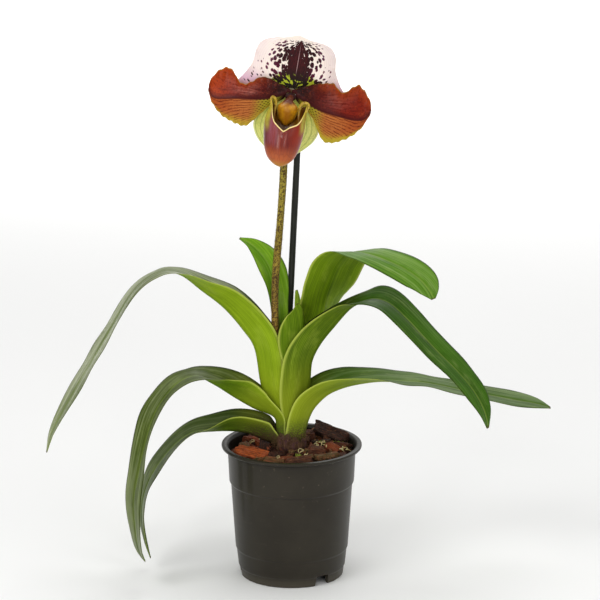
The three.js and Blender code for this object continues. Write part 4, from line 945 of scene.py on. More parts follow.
def make_synsepal():
    t, v = spread(SYNSEPAL)
    h, w = read(SYNSEPAL, t, "height", "width")
    cup = -2.6 * v**2 * np.minimum(1, w / 20)
    ripple = 0.5 * np.abs(v) ** 4 * np.sin(h * 0.42 + 2 * v)
    y = 4.2 + cup + 5 * np.sin(math.pi * h / -70) + ripple
    grid = np.stack([w * v, y, h + 0 * v], -1)
    thick = FLOWER["sheet"] * thinned(v, 0.4, 6) + 0 * h
    piece = blade("synsepal", grid, thick, {"v": v + 0 * h, "h": h + 0 * v}, in_bloom())
    m = Looks("synsepal_skin", roughness=0.5, specular=0.2, subsurface=0.1)
    v, h = m.field("v"), m.field("h")
    blotch = m.noise(90, 3, 0.6)
    bend = m.streaks((v * 2, h * 0.05)) * 2.2
    lines = m.sum("SINE", v * 40.0 + bend)
    line = lines.step(0.55, 0.98)
    net = m.cells(1.0, "DISTANCE_TO_EDGE", 0.9, at=(v * 13.0, h * 0.26, 0.0))
    colour = m.layers(
        "#e8ea84",
        (blotch.step(0.35, 0.7), "#ccd45a"),
        (h.step(-14, -40, 0.45), "#eef0a0"),
        (line * 0.5, "#8da03e"),
        (net.step(0.06, 0.02, 0.35), "#93a546"),
        (abs(v).step(0.93, 1.0, 0.7), "#e8ebbe"))
    bumps = ((line, 0.25, 0.0004), (net, 0.1, 0.0003), (blotch, 0.1, 0.0008))
    dress(piece, m.finish(colour, None, bumps))


make_synsepal()

# The slipper: rings from the toe to a mouth that is low in front, with a notch, and high at the side
# lobes. "edge" is the height of the mouth at each angle round it, from the front.
LIP = {
    "toe": -57.5, "crest": -8, "wall": 1.1, "shift": 2, "rows": 76, "around": 180,
    "level": [0, 0.04, 0.14, 0.3, 0.5, 0.68, 0.84, 1],
    "side": [0.6, 5.4, 11, 14.6, 16.4, 17, 16.6, 15.6],
    "depth": [0.5, 4, 8.5, 11.5, 13, 13, 12, 11],
    "forward": [-27, -26.4, -24.6, -22, -19, -16.6, -15, -14],
    "edge": [[-180, -13], [-140, -12], [-112, -4.6], [-90, -3.4], [-67, -6.2], [-49, -12.1],
             [-40, -18.8], [-2, -26.3], [8, -24.2], [15, -22.6], [30, -21], [44, -19.8], [60, -13.2],
             [72, -9], [90, -5.6], [110, -6.4], [140, -12], [180, -13]],
}


def make_lip():
    around = LIP["around"]
    angle = np.linspace(-180, 180, around, endpoint=False)[None]
    t = at_each(LIP["rows"])
    level = np.clip(read(LIP, t, "level")[0], 0, 1)
    tables = {k: catmull(LIP[k], np.linspace(0, 1, 300)) for k in ("level", "side", "depth", "forward")}
    bent = np.interp(angle[0], *np.array(LIP["edge"], float).T)
    turn = np.abs(angle)
    crisp = sum(np.roll(bent, k) for k in (-1, 0, 0, 1)) / 4
    soft = sum(np.roll(bent, k) for k in range(-5, 6)) / 11
    mouth = lerp(crisp[None], soft[None], smooth(turn, 14, 40))
    sine, cosine = np.sin(np.radians(angle)), np.cos(np.radians(angle))

    def shell(inset):
        z = lerp(LIP["toe"] + inset, mouth, level)
        q = (z - LIP["toe"] - inset) / (LIP["crest"] - LIP["toe"])
        side, depth, forward = (
            np.interp(q, tables["level"], tables[k]) for k in ("side", "depth", "forward"))
        fold = 1 + np.where(sine < 0, -0.1, 0.08) * smooth(q, 0.7, 1) * sine**2
        lipped = 0.7 * smooth(level, 0.94, 1.0) * np.maximum(0, cosine) ** 0.5
        a = np.maximum(0.3, (side - inset) * fold)
        b = np.maximum(0.3, depth - inset + lipped)
        swell = 0.35 * np.cos(3 * np.radians(angle)) * smooth(q, 0.1, 0.4) * fade(q, 0.5, 0.7)
        return np.stack([(a + swell) * sine - LIP["shift"], forward - (b + swell) * cosine, z], -1)

    inset = LIP["wall"] * (1 - 0.35 * smooth(level, 0.9, 1))
    outer, inner = in_bloom()(shell(0.0)), in_bloom()(shell(inset))
    height = lerp(LIP["toe"], mouth, level)
    fields = {"level": (height - LIP["toe"]) / (LIP["crest"] - LIP["toe"]),
              "turn": turn + 0 * level, "angle": angle + 0 * level, "below": mouth - height}
    points, faces, doubled = sandwich(outer, inner, fields, ring=True)
    # The ring that joins both walls at the toe makes way for a point that closes each of them.
    count = len(t) * around
    faces = [f for f in faces
             if not all(i % count < around for i in f) or len({i // count for i in f}) == 1]
    toe = len(points)
    points = np.concatenate([points, outer[0].mean(0)[None], inner[0].mean(0)[None]])
    doubled = {k: np.concatenate([d, d[[0, count]]]) for k, d in doubled.items()}
    for j in range(around):
        k = (j + 1) % around
        faces += [(toe, k, j), (toe + 1, count + j, count + k)]
    piece = fine_piece("lip", points, faces, doubled)

    m = Looks("lip_skin", coat=0.5, specular=0.2, gleam=WARM_GLEAM, coat_roughness=0.2)
    level, turn, below, outside = (m.field(k) for k in ("level", "turn", "below", "side"))
    angle = m.field("angle")
    mottled = m.noise(120, 4, 0.6)
    rays = m.streaks((angle * 0.13, level * 1.6), 4, 0.6)
    net = m.cells(1.0, "DISTANCE_TO_EDGE", 0.9, at=(angle * 0.085, level * 7.0))
    body = m.layers(
        "#5c1214",
        (rays.step(0.3, 0.7), "#80220f"),
        (angle.step(15, 50) * level.step(0.2, 0.5), "#8a2006"),
        (angle.step(-25, -60) * level.step(0.2, 0.5), "#641c20"))
    # A painted mauve sheen, a painted reflection on the left flank of the slipper's body.
    painted_sheen_patch = angle.step(-12, -28) * angle.step(-62, -42)
    painted_sheen_patch = painted_sheen_patch * (level.step(0.25, 0.5) * rays.step(0.65, 0.4, 0.42, start=0.1))
    body = m.layers(body, (painted_sheen_patch, "#b06c7c"), (level.step(0.42, 0.14), "#a85020"))
    toe_net = net.step(0.11, 0.03) * level.step(0.55, 0.2, 0.3, start=0.1)
    body = m.layers(body, (toe_net, "#5f1e12"), (level.step(0.16, 0.02, 0.7), "#c08a34"))
    lobe = turn.step(42, 62) * level.step(0.52, 0.72)
    lobe_tint = m.mix(mottled.step(0.35, 0.7), "#b4ac38", "#94802c")
    body = m.layers(body, (lobe, lobe_tint), (turn.step(100, 135) * level.step(0.2, 0.5), "#b3b85c"))
    rim = below.step(1.25, 0.75)
    rim_tint = m.layers("#f6dc90", (turn.step(42, 62), "#c8b03c"), (turn.step(108, 124), "#5a2c14"))
    body = m.mix(rim, body, rim_tint)
    inside = m.layers(
        "#b88414",
        (mottled.step(0.35, 0.7), "#80500c"),
        (turn.step(60, 95, 0.55), "#5a2408"),
        (angle.step(24, 60) * angle.step(130, 110, 0.8), "#43100a"),
        (level.step(0.55, 0.35, 0.7), "#33280a"))
    dots = m.cells(420, "F1", 0.9)
    inside = m.layers(inside, (dots.step(0.32, 0.22, 0.6), "#5a2416"), (below.step(1.3, 0.6), rim_tint))
    colour = m.mix(outside.step(0.4, 0.6), inside, body)
    rough = rim.step(0.0, 1.0, 0.42, start=0.24) + mottled * 0.12
    bumps = ((rays, 0.22, 0.0010), (net, 0.08, 0.0003), (mottled, 0.12, 0.0008))
    dress(piece, m.finish(colour, rough, bumps))


# The margin of each side lobe rolls in and runs down into the mouth beside the shield.
EARS = {
    "left": [[-14.4, -17, -11.6], [-16, -15.4, -5.4], [-15.6, -14.4, -2.8], [-14, -13.6, -2.4],
             [-12.2, -13.2, -4.4], [-11.4, -13.2, -8], [-11.6, -13.6, -12.4], [-11.6, -14.8, -17],
             [-11.2, -16.6, -21.6]],
    "right": [[14.2, -18, -11], [15.9, -16.6, -7], [15.4, -15.4, -4.6], [13.2, -14.2, -3.9],
              [10.8, -13.6, -4.6], [9.2, -13.4, -7.4], [8.6, -13.6, -11.4], [8.7, -14.6, -16],
              [9.6, -16.4, -21.4]],
}
EAR_RADII = [0.35, 0.75, 0.95, 1.15, 1.3, 1.3, 1.15, 0.9, 0.35]


def make_ears():
    parts, marks = [], []
    around = 20
    oval = lambda turn: 1 + 0.12 * np.cos(2 * turn)
    for route in EARS.values():
        steps = np.linspace(0, 1, 60)
        points, faces = tube(catmull(route, steps), catmull(EAR_RADII, steps), around, oval)
        parts.append((in_bloom()(points), faces))
        marks.append(np.concatenate([np.repeat(steps, around), [0, 1]]))
    points, faces = gather(parts)
    piece = make_piece("lip_ears", points, faces, "lip", fields={"run": np.concatenate(marks)})
    m = Looks("lip_ear_skin", coat=0.3, specular=0.2)
    run = m.field("run")
    mottled = m.noise(500, 3, 0.6)
    colour = m.layers(
        "#c4a634",
        (mottled.step(0.35, 0.65), "#8c6c18"),
        (run.step(0.55, 0.95, 0.8), "#7a4c14"))
    dress(piece, m.finish(colour, 0.4, ((mottled, 0.3, 0.0004),)))


make_lip()
make_ears()


# The column's neck, and its shield: heights and half widths from the top down.
COLUMN = {
    "neck": [[0, -2.9, -2.5], [0, -8, -4], [0, -11.4, -8]], "neck_radii": [2.5, 2.7, 2.4],
    "height": [-3, -6, -9, -13, -18, -22, -24.8], "width": [1.6, 4.8, 7.8, 8.6, 7.6, 5, 1.6],
    "thick": 1.6, "shift": 1.2, "forward": -11.4, "rows": 60, "cols": 45, "neck_steps": 20, "around": 28,
}


def make_column():
    steps = np.linspace(0, 1, COLUMN["neck_steps"])
    neck, radii = catmull(COLUMN["neck"], steps), catmull(COLUMN["neck_radii"], steps)
    neck_points, neck_faces = tube(neck, radii, COLUMN["around"])
    t, v = spread(COLUMN, 1)
    h, w = read(COLUMN, t, "height", "width")
    shoulder = 1 + 0.06 * bell(t - 0.36, 0.1) - 0.05 * bell(t - 0.6, 0.1)
    dome = -1.6 * np.sin(math.pi * t) - 1.1 * np.exp(-(v * 2.2) ** 2) * bell(t - 0.45, 0.16)
    groove = 0.5 * np.exp(-(v * 9) ** 2) * smooth(t, 0.5, 0.75)
    y = COLUMN["forward"] + 2.4 * v**2 + dome + groove
    grid = np.stack([w * shoulder * v - COLUMN["shift"], y, h + 0 * v], -1)
    half = grid_normals(grid) * (COLUMN["thick"] / 2 * thinned(v, 0.35, 6) + 0 * h)[..., None]
    points, faces, doubled = sandwich(grid + half, grid - half, {"v": v + 0 * h, "h": h + 0 * v})
    on_neck = {"v": 0.0, "h": -3.0, "side": 1.0}
    doubled = {k: np.concatenate([d, np.full(len(neck_points), on_neck[k])]) for k, d in doubled.items()}
    points, faces = gather([(points, faces), (neck_points, neck_faces)])
    piece = fine_piece("column", in_bloom()(points), faces, doubled)
    m = Looks("column_skin", coat=0.3, specular=0.2)
    v, h = m.field("v"), m.field("h")
    pebbles = m.cells(1300, "F1", 0.9)
    blotch = m.noise(260, 3, 0.6)
    colour = m.layers(
        "#cc9010",
        (blotch.step(0.3, 0.7), "#a0640c"),
        (abs(v).step(0.5, 0.1) * h.step(-9, -14), "#a8680f"),
        (h.step(-9.5, -5), "#5e2814"),
        (abs(v).step(0.86, 0.97, 0.8), "#d6b84e"))
    bumps = ((pebbles, 0.35, 0.0004), (blotch, 0.2, 0.0008))
    dress(piece, m.finish(colour, 0.26 + blotch * 0.25, bumps))


make_column()


def make_heart():
    """The dark cushion where the sepals, the petals and the column meet."""
    steps = np.linspace(0.02, math.pi - 0.02, 24)
    path = np.stack([-4.6 * np.cos(steps), 0 * steps - 4.4, 0 * steps - 2.6], 1)
    points, faces = tube(path, np.sin(steps), 28)
    points = (points - path.mean(0)) * (1, 1.7, 3.6) + path.mean(0)
    piece = make_piece("flower_heart", in_bloom()(points), faces, "column")
    dress(piece, two_toned("heart_skin", 300, "#1e080a", "#3c1210", specular=0.2))


make_heart()


# ---------- scape, ovary, bract ----------
SCAPE = {
    "radius": 3.2, "steps": 150, "around": 28,
    "route": [[-3.2, -3.6, 116.1], [-5, -4, 138], [-7.4, -4, 156], [-10.8, -4, 183], [-13.7, -3, 213],
              [-14.2, -2, 244], [-13.3, -1, 270], [-10.1, 1, 306], [-7.7, 3.4, 339], [-6.4, 5.6, 362],
              [-5.2, 8.4, 384]],
}
OVARY = {
    "route": [[-5.15, 8.5, 384.7], [-4, 11.2, 398], [-2.4, 11.4, 411], [-1.2, 6.5, 421.5],
              [-0.5, -3, 425.3], [-0.4, -15.8, 425.4]],
    "radii": [2.7, 3.5, 3.9, 3.8, 3.7, 3.4], "ribs": 6, "depth": 0.35, "steps": 70, "around": 48,
}
# How many hairs, their least and most length, a seed, and the part of the stem they stand on.
SCAPE_FUZZ = (5200, 0.5, 1.25, 4)
OVARY_FUZZ = (1500, 0.5, 1.1, 6, (0.0, 0.78))
FUZZ_WIDTH = 0.075


def even(route, count):
    """Points at even spacing along a smooth route."""
    fine = catmull(route, np.linspace(0, 1, 60 * len(route)))
    run = np.concatenate([[0], np.cumsum(np.linalg.norm(np.diff(fine, axis=0), axis=1))])
    want = np.linspace(0, run[-1], count)
    return np.stack([np.interp(want, run, fine[:, k]) for k in range(3)], 1)


def fuzz_on(path, radii, count, low, high, seed, trim=(0.0, 1.0)):
    """Hairs that stand all round a stem."""
    rng = np.random.default_rng(seed)
    _, a, b = frames_along(path)
    place = rng.uniform(trim[0], trim[1], count) * (len(path) - 1)
    i = np.minimum(place.astype(int), len(path) - 2)
    f = (place - i)[:, None]
    turn = rng.uniform(0, 2 * math.pi, count)[:, None]
    out = a[i] * np.cos(turn) + b[i] * np.sin(turn)
    centre = path[i] * (1 - f) + path[i + 1] * f
    reach = np.interp(place, np.arange(len(path)), np.broadcast_to(radii, (len(path),)))[:, None]
    ways = out + rng.normal(size=out.shape) * 0.28 + np.array([0, 0, 0.2])
    return hairs(centre + out * reach, ways, rng.uniform(low, high, count), FUZZ_WIDTH, 0.12, seed)


def stem_looks(name, low_tint, high_tint, down, top, fleck="#4a2a24"):
    m = Looks(name, roughness=0.62, specular=0.15)
    x, y, height = m.parts()
    patch = m.noise(60, 3, 0.6)
    specks = m.noise(850, 1, 0.5)
    colour = m.layers(
        low_tint,
        (height.step(down, top), high_tint),
        (patch.step(0.35, 0.7, 0.5), "#5c4a20"),
        (specks.step(0.47, 0.56, 0.85), fleck))
    grooves = m.streaks((x * 900.0, y * 900.0, height * 30.0), 2, 0.5)
    return m.finish(colour, specks * 0.2 + 0.5, ((grooves, 0.3, 0.0004), (specks, 0.35, 0.0003)))


fuzz_skin = two_toned("stem_hair", 300, "#6b463a", "#3f241f", roughness=0.7)

scape_path = even(SCAPE["route"], SCAPE["steps"])
scape_radii = SCAPE["radius"] - 0.12 + 0.1 * np.sin(np.linspace(0, 23, SCAPE["steps"]))
dress(fine_piece("scape", *tube(scape_path, scape_radii, SCAPE["around"])),
      stem_looks("scape_skin", "#8c6c2c", "#a09434", 0.16, 0.4, "#331812"))
dress(make_piece("scape_hairs", *fuzz_on(scape_path, scape_radii, *SCAPE_FUZZ), "scape"), fuzz_skin)

ovary_path = even(OVARY["route"], OVARY["steps"])
ovary_radii = catmull(OVARY["radii"], np.linspace(0, 1, OVARY["steps"]))
ribbed = lambda turn: 1 + OVARY["depth"] / 4 * np.cos(OVARY["ribs"] * turn) + 0.02 * np.cos(18 * turn)
dress(fine_piece("ovary", *tube(ovary_path, ovary_radii, OVARY["around"], ribbed)),
      stem_looks("ovary_skin", "#6c6a36", "#7c7440", 0.385, 0.425))
dress(make_piece("ovary_hairs", *fuzz_on(ovary_path, ovary_radii, *OVARY_FUZZ), "ovary"), fuzz_skin)


# The bract: where its middle stands from the foot to the tip (x, y), and between which heights.
BRACT = {
    "centre": [[-5.2, 8.2], [-4.2, 10.6], [-3.4, 11.6], [-2.6, 11.8]], "foot": 380, "tip": 404.4,
    "thick": 0.7, "rows": 50, "cols": 61,
}


def make_bract():
    t, k = spread(BRACT)
    centre = catmull(BRACT["centre"], t[:, 0])
    wrap = lerp(150, 34, t**0.8)
    reach = lerp(4.9, 6.4, np.sin(math.pi * t * 0.8)) + 0.12 * np.cos(k * 24) * (1 - t)
    turn = np.radians(90 + wrap * k)
    z = lerp(BRACT["foot"], BRACT["tip"], t) + 0.6 * (1 - np.abs(k)) * t - 1.2 * np.abs(k) ** 3 * t
    grid = np.stack([centre[:, :1] + reach * np.cos(turn), centre[:, 1:] + reach * np.sin(turn), z], -1)
    thick = BRACT["thick"] * thinned(k, 0.4, 8) + 0 * t
    piece = blade("bract", grid, thick, {"k": k + 0 * t, "t": t + 0 * k})
    m = Looks("bract_skin", roughness=0.5, subsurface=0.1)
    lines = m.sum("SINE", m.field("k") * 42.0)
    specks = m.noise(700, 2, 0.6)
    colour = m.layers(
        "#8ba24a",
        (m.noise(70).step(0.35, 0.7), "#6f8a38"),
        (lines.step(0.2, 1.0, 0.35), "#4f6a2a"),
        (specks.step(0.55, 0.65) * m.field("t").step(0.6, 0.0), "#54303a"))
    dress(piece, m.finish(colour, None, ((lines, 0.25, 0.0003), (specks, 0.15, 0.0002))))


make_bract()


# ---------- stake ----------
STAKE = {
    "foot": [-10.9, 16.8, 34.0], "top": [7.0, 13.0, 416.0], "radius": 2.85, "point": 14, "around": 40,
}


def make_stake():
    foot, top = np.array(STAKE["foot"]), np.array(STAKE["top"])
    length, radius, point = np.linalg.norm(top - foot), STAKE["radius"], STAKE["point"]
    rounded_end = length - np.array([1.6, 1.0, 0.5, 0.15, 0])
    run = np.concatenate([np.linspace(0, point, 12), np.linspace(20, length - 2.2, 70), rounded_end])
    marks = [0, point, length - 2.2, length - 1.0, length - 0.3, length]
    radii = np.interp(run, marks, [0.9, radius, radius, 2.6, 2.0, 1.5])
    path = foot + (top - foot) / length * run[:, None]
    rng = np.random.default_rng(SEEDS["stake"])
    radii = radii - 0.08 + 0.05 * np.sin(run * 0.09) + rng.normal(size=len(run)) * 0.012
    piece = fine_piece("stake", *tube(path, radii, STAKE["around"]), sharp=50)
    m = Looks("stake_skin", roughness=0.5, specular=0.25)
    x, y, z = m.parts()
    grain = m.streaks((x * 1400.0, y * 1400.0, z * 26.0), 3)
    dust = m.noise(45, 4, 0.65)
    colour = m.layers(
        "#161813",
        (grain.step(0.35, 0.7), "#25271f"),
        (dust.step(0.52, 0.75, 0.3), "#3c3d33"))
    dress(piece, m.finish(colour, dust * 0.25 + 0.36, ((grain, 0.25, 0.0003), (dust, 0.1, 0.0004))))


make_stake()


# ---------- crown and the dry sheath at its foot ----------
def dress_crown():
    m = Looks("crown_skin", roughness=0.75, specular=0.3)
    x, y, z = m.parts()
    rings = m.streaks((x * 60.0, y * 60.0, z * 700.0), 3)
    fibres = m.streaks((x * 900.0, y * 900.0, z * 90.0), 3)
    colour = m.layers(
        "#4c3428",
        (fibres.step(0.35, 0.7), "#7b5a3e"),
        (rings.step(0.5, 0.7, 0.5), "#382420"))
    bumps = ((fibres, 0.5, 0.0006), (rings, 0.35, 0.0006))
    dress(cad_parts["crown"], m.finish(colour, None, bumps))


dress_crown()


# The dry sheath: the middle it stands round, its rings (height, reach in x and in y, how torn), the
# bearing of its first edge, how far round it goes, and the teeth of its torn margin.
SHEATH = {
    "x": -1.6, "y": -3, "start": -132, "sweep": 104, "teeth": 12, "rows": 46, "cols": 145,
    "rings": [[112.5, 12.8, 11.2, 0], [116.5, 15.4, 13.5, 0], [121, 15.8, 13.8, 0], [124.5, 16, 14, 1]],
}


def make_sheath():
    k = np.linspace(0, SHEATH["teeth"], SHEATH["cols"])[None]
    t = at_each(SHEATH["rows"])
    z0, rx, ry, torn = catmull(SHEATH["rings"], t[:, 0]).T[:, :, None]
    angle = np.radians(SHEATH["start"] + SHEATH["sweep"] * k / SHEATH["teeth"])
    ragged = 3.0 * np.abs(np.sin(k * 1.1)) + 3 * np.sin(k * 0.5)
    ragged = ragged + 0.35 * np.sin(k * 11) + 0.25 * np.sin(k * 23 + 1)
    rng = np.random.default_rng(SEEDS["sheath"])
    crease = 0.09 * np.sin(k * 9 + 0.6 * np.sin(k * 2)) + 0.2 * np.sin(k * 2.3)
    crease = crease + rng.normal(size=k.shape) * 0.025
    reach = crease + 0.8 * torn * np.sin(k * 1.7)
    x = SHEATH["x"] + (rx + reach) * np.cos(angle)
    y = SHEATH["y"] + (ry + reach) * np.sin(angle)
    grid = np.stack([x, y, z0 + torn * ragged + 0 * k], -1)
    thick = lerp(0.8, 0.3, np.broadcast_to(t**3, grid.shape[:2]))
    piece = blade("dry_sheath", grid, thick, {"t": t + 0 * k, "k": k + 0 * t})
    m = Looks("dry_sheath_skin", roughness=0.8, specular=0.25)
    fibres = m.streaks((m.field("k") * 4.0, m.field("t") * 1.2), 4, 0.65)
    mould = m.noise(240, 3, 0.6)
    colour = m.layers(
        "#3a241a",
        (fibres.step(0.35, 0.7), "#6a4c34"),
        (mould.step(0.45, 0.65, 0.7), "#4a2c38"),
        (m.field("t").step(0.75, 1.0, 0.5), "#4c4224"))
    dress(piece, m.finish(colour, None, ((fibres, 0.6, 0.0007), (mould, 0.25, 0.0004))))


make_sheath()


# Heights, and how far out the foot of the leaves stands there; the number and width of the hairs.
FOOT_HAIRS = {
    "height": [113, 117, 121, 125, 129], "flare": [14.4, 15.8, 16.2, 16.6, 17.4],
    "count": 1500, "width": 0.09,
}


def make_foot_hairs():
    """Brown fibres that stand on the sheath and on the foot of the leaves."""
    rng = np.random.default_rng(SEEDS["foot_hairs"])
    count, heights = FOOT_HAIRS["count"], FOOT_HAIRS["height"]
    turn = np.radians(rng.uniform(-170, 0, count))
    sine, cosine = np.sin(turn), np.cos(turn)
    height = rng.uniform(heights[0], heights[-1], count)
    flare = np.interp(height, heights, FOOT_HAIRS["flare"])
    roots = np.stack([SHEATH["x"] + flare * cosine, SHEATH["y"] + flare * 0.88 * sine, height], 1)
    ways = np.stack([cosine * 0.5, sine * 0.5, 0 * turn + 1.0], 1) + rng.normal(size=(count, 3)) * 0.3
    points, faces = hairs(
        roots, ways, rng.uniform(0.6, 1.9, count), FOOT_HAIRS["width"], 0.1, SEEDS["foot_hairs"] + 1)
    m = Looks("foot_hair", roughness=0.8, specular=0.1)
    tint = m.mix(m.noise(400, 2, 0.5).step(0.35, 0.65), "#3a2018", "#8a6a4a")
    dress(make_piece("foot_hairs", points, faces, "dry_sheath"), m.finish(tint))


make_foot_hairs()


# ---------- pot ----------
POT = {
    "rim": 60.3, "top": 116.5, "drop": 2.2, "mouth": 56.2, "neck": 55.1, "neck_height": 112,
    "step_height": 83, "step": 1.3, "low_step": 24, "foot_step": 8, "foot": 44.4, "wall": 1.2,
    "floor": 1.6, "recess": 9.5, "boss": 15, "foot_width": 4.5, "ease": 0.7, "around": 168,
    "notches": 3, "notch_angle": -54, "notch_half": 7.2, "notch_taper": 0.78, "notch_reach": (38.4, 56.4),
    "drains": 6, "drain_angle": 30, "drain": 4, "drain_circle": 27,
}


BORE = 0.0558  # metres; inside this radius the top of the wall is in shade


def rounded(corners, radius, steps=4):
    """A profile with each inner corner eased by a short curve."""
    corners = np.array(corners, float)
    out = [corners[0]]
    for before, corner, after in zip(corners[:-2], corners[1:-1], corners[2:]):
        back, on = before - corner, after - corner
        reach = min(radius, np.linalg.norm(back) * 0.45, np.linalg.norm(on) * 0.45)
        start, end = corner + unit(back) * reach, corner + unit(on) * reach
        for s in np.linspace(0, 1, steps):
            out.append((1 - s) ** 2 * start + 2 * s * (1 - s) * corner + s**2 * end)
    out.append(corners[-1])
    return np.array(out)


def pot_profile():
    """Out along the underside, up the outer wall, over the rim and down inside: radius and height."""
    p = POT
    outer_at = lambda z: lerp(p["foot"], p["neck"] + p["step"], z / p["neck_height"])
    foot, low, high = p["foot_step"], p["low_step"], p["step_height"]
    recess, boss = p["recess"], p["boss"]
    inner, shoulder = p["foot"] - p["foot_width"], p["top"] - p["drop"]
    under = [[0, 0], [boss, 0], [boss + 2, recess], [inner, recess], [inner + 1, 0], [p["foot"], 0]]
    outside = [
        [outer_at(foot), foot - 0.6], [outer_at(foot) + 0.9, foot + 0.6],
        [outer_at(low) + 0.7, low - 0.8], [outer_at(low) + 1.6, low + 0.8],
        [outer_at(high) - 0.9, high - 0.8], [outer_at(high) + 0.5, high + 0.8],
        [p["neck"], p["neck_height"]], [p["rim"] - 1.2, shoulder - 0.8], [p["rim"], shoulder],
        [p["rim"], p["top"]]]
    throat, floor = p["neck"] - p["wall"], recess + p["floor"]
    inside = [
        [p["mouth"], p["top"]], [throat + 0.4, p["top"] - 2.2], [throat, p["neck_height"]],
        [outer_at(high) - p["wall"] - 0.9, high], [p["foot"] + 1.6 - p["wall"], floor],
        [boss + 2, floor], [boss, p["floor"]], [0, p["floor"]]]
    return rounded(under + outside + inside, p["ease"])


def notch_cutter(way):
    """A block with eased upper corners that stands across the foot ring."""
    p = POT
    low, high = -4, p["recess"] - 0.4
    wide, narrow = p["notch_half"], p["notch_half"] * p["notch_taper"]
    right = [(wide, low), (narrow + 0.6, high - 1.4), (narrow - 0.5, high - 0.2), (narrow - 1.6, high)]
    outline = right + [(-s, h) for s, h in right][::-1]
    sine, cosine = math.sin(way), math.cos(way)
    block = [(d * cosine - s * sine, d * sine + s * cosine, h)
             for d in p["notch_reach"] for s, h in outline]
    n = len(outline)
    sides = [(j, (j + 1) % n, n + (j + 1) % n, n + j) for j in range(n)]
    return np.array(block, float), sides + [tuple(range(n))[::-1], tuple(range(n, 2 * n))]


def drain_cutter(way):
    p = POT
    at = np.array([p["drain_circle"] * math.cos(way), p["drain_circle"] * math.sin(way), p["recess"]])
    return tube(at + np.array([[0, 0, -3], [0, 0, 5]]), p["drain"], 32)


def make_pot():
    p = POT
    profile = pot_profile()
    turn = full_turn(p["around"])
    r, z = profile[1:-1].T
    rings = np.stack([r[:, None] * np.cos(turn), r[:, None] * np.sin(turn), z[:, None] + 0 * turn], -1)
    points, faces = capped(rings, (0, 0, profile[0, 1]), (0, 0, profile[-1, 1]))
    piece = fine_piece("pot", points, faces)
    # Notches through the foot ring and holes through the raised floor.
    cutters = []
    kinds = ((notch_cutter, p["notches"], p["notch_angle"]), (drain_cutter, p["drains"], p["drain_angle"]))
    for cutter, count, first in kinds:
        cutters += [cutter(math.radians(first + 360 / count * i)) for i in range(count)]
    tool_mesh = bpy.data.meshes.new("cuts")
    points, faces = gather(cutters)
    tool_mesh.from_pydata((points * MM).tolist(), [], faces)
    fix_outward(tool_mesh)
    tool = bpy.data.objects.new("cuts", tool_mesh)
    scene.collection.objects.link(tool)
    cut = piece.modifiers.new("cuts", "BOOLEAN")
    cut.operation, cut.object, cut.solver = "DIFFERENCE", tool, "EXACT"
    bpy.context.view_layer.update()
    done = bpy.data.meshes.new_from_object(piece.evaluated_get(bpy.context.evaluated_depsgraph_get()))
    piece.modifiers.clear()
    piece.data = done
    bpy.data.objects.remove(tool)
    done.polygons.foreach_set("use_smooth", [True] * len(done.polygons))
    done.set_sharp_from_angle(angle=math.radians(32))

    m = Looks("pot_plastic", coat=0.16, specular=0.22, gleam="#fff2e0")
    x, y, z = m.parts()
    level = m.noise(1500, 2, 0.5)
    cloud = m.noise(22, 3, 0.55)
    scuff = m.streaks((x * 30.0, y * 30.0, z * 240.0), 4, 0.7)
    colour = m.layers(
        "#1f1c16",
        (cloud.step(0.35, 0.7), "#27241d"),
        (scuff.step(0.6, 0.78, 0.25), "#403c32"))
    splash = m.noise(240, 4, 0.7).step(0.62, 0.74) * z.step(0.112, 0.06, 0.1, start=0.5)
    colour = m.layers(colour, (splash, "#6d6250"), (z.step(0.012, 0.0, 0.25), "#6a6456"))
    bore = m.sum("LESS_THAN", x * x + y * y, BORE**2) * z.step(0.108, 0.114)
    colour = m.mix(bore * 0.7, colour, "#0b0a08")
    rough = 0.4 + cloud * 0.16
    bumps = ((level, 0.10, 0.0002), (scuff, 0.08, 0.0003), (cloud, 0.05, 0.0008))
    dress(piece, m.finish(colour, rough, bumps))


make_pot()


# ---------- bark mix ----------
MIX = {
    "floor": 11.7, "level": 111, "mound": 7, "chips": 27, "seed": 11, "reach": 49, "bits": 90,
    "around": 220, "rows": 46,
}
GOLDEN_TURN = 2.39996  # radians from one chip of the spiral to the next
# Chips given one by one: length, width, thickness, place, turn, tilt, lean, and tone from dark to rusty.
CHIPS = (
    (36, 17, 7, (-34, -26, 114.2), -28, 6, 16, 0.97),
    (44, 15, 9, (34, 27, 116.5), -32, 9, 32, 0.02),
    (28, 15, 7, (6, -38, 113), 12, -6, -14, 0.35),
    (28, 14, 6, (31, -28, 113), 38, 4, -10, 0.5),
    (22, 13, 6, (-14, -40, 113), -8, 8, -12, 0.62),
)
# Where the bark leaves room for the fan of leaves, and for the growth behind it with the stake.
FAN, FAN_REACH = (-1.4, -2.6), (17.6, 15.3)
BEHIND, BEHIND_REACH = (6.5, 14.5), 9.5


class Lcg:
    """The same run of numbers as in the solids, so that each chip lies where its solid lies."""

    def __init__(self, seed):
        self.state = seed

    def __call__(self):
        self.state = (self.state * 1664525 + 1013904223) % 4294967296
        return self.state / 4294967296


def wall_at(z):
    return lerp(POT["foot"], POT["neck"], z / POT["neck_height"]) - POT["wall"] - 0.9


def surface(r):
    return MIX["level"] + MIX["mound"] * np.maximum(0, 1 - r / POT["neck"]) ** 1.3


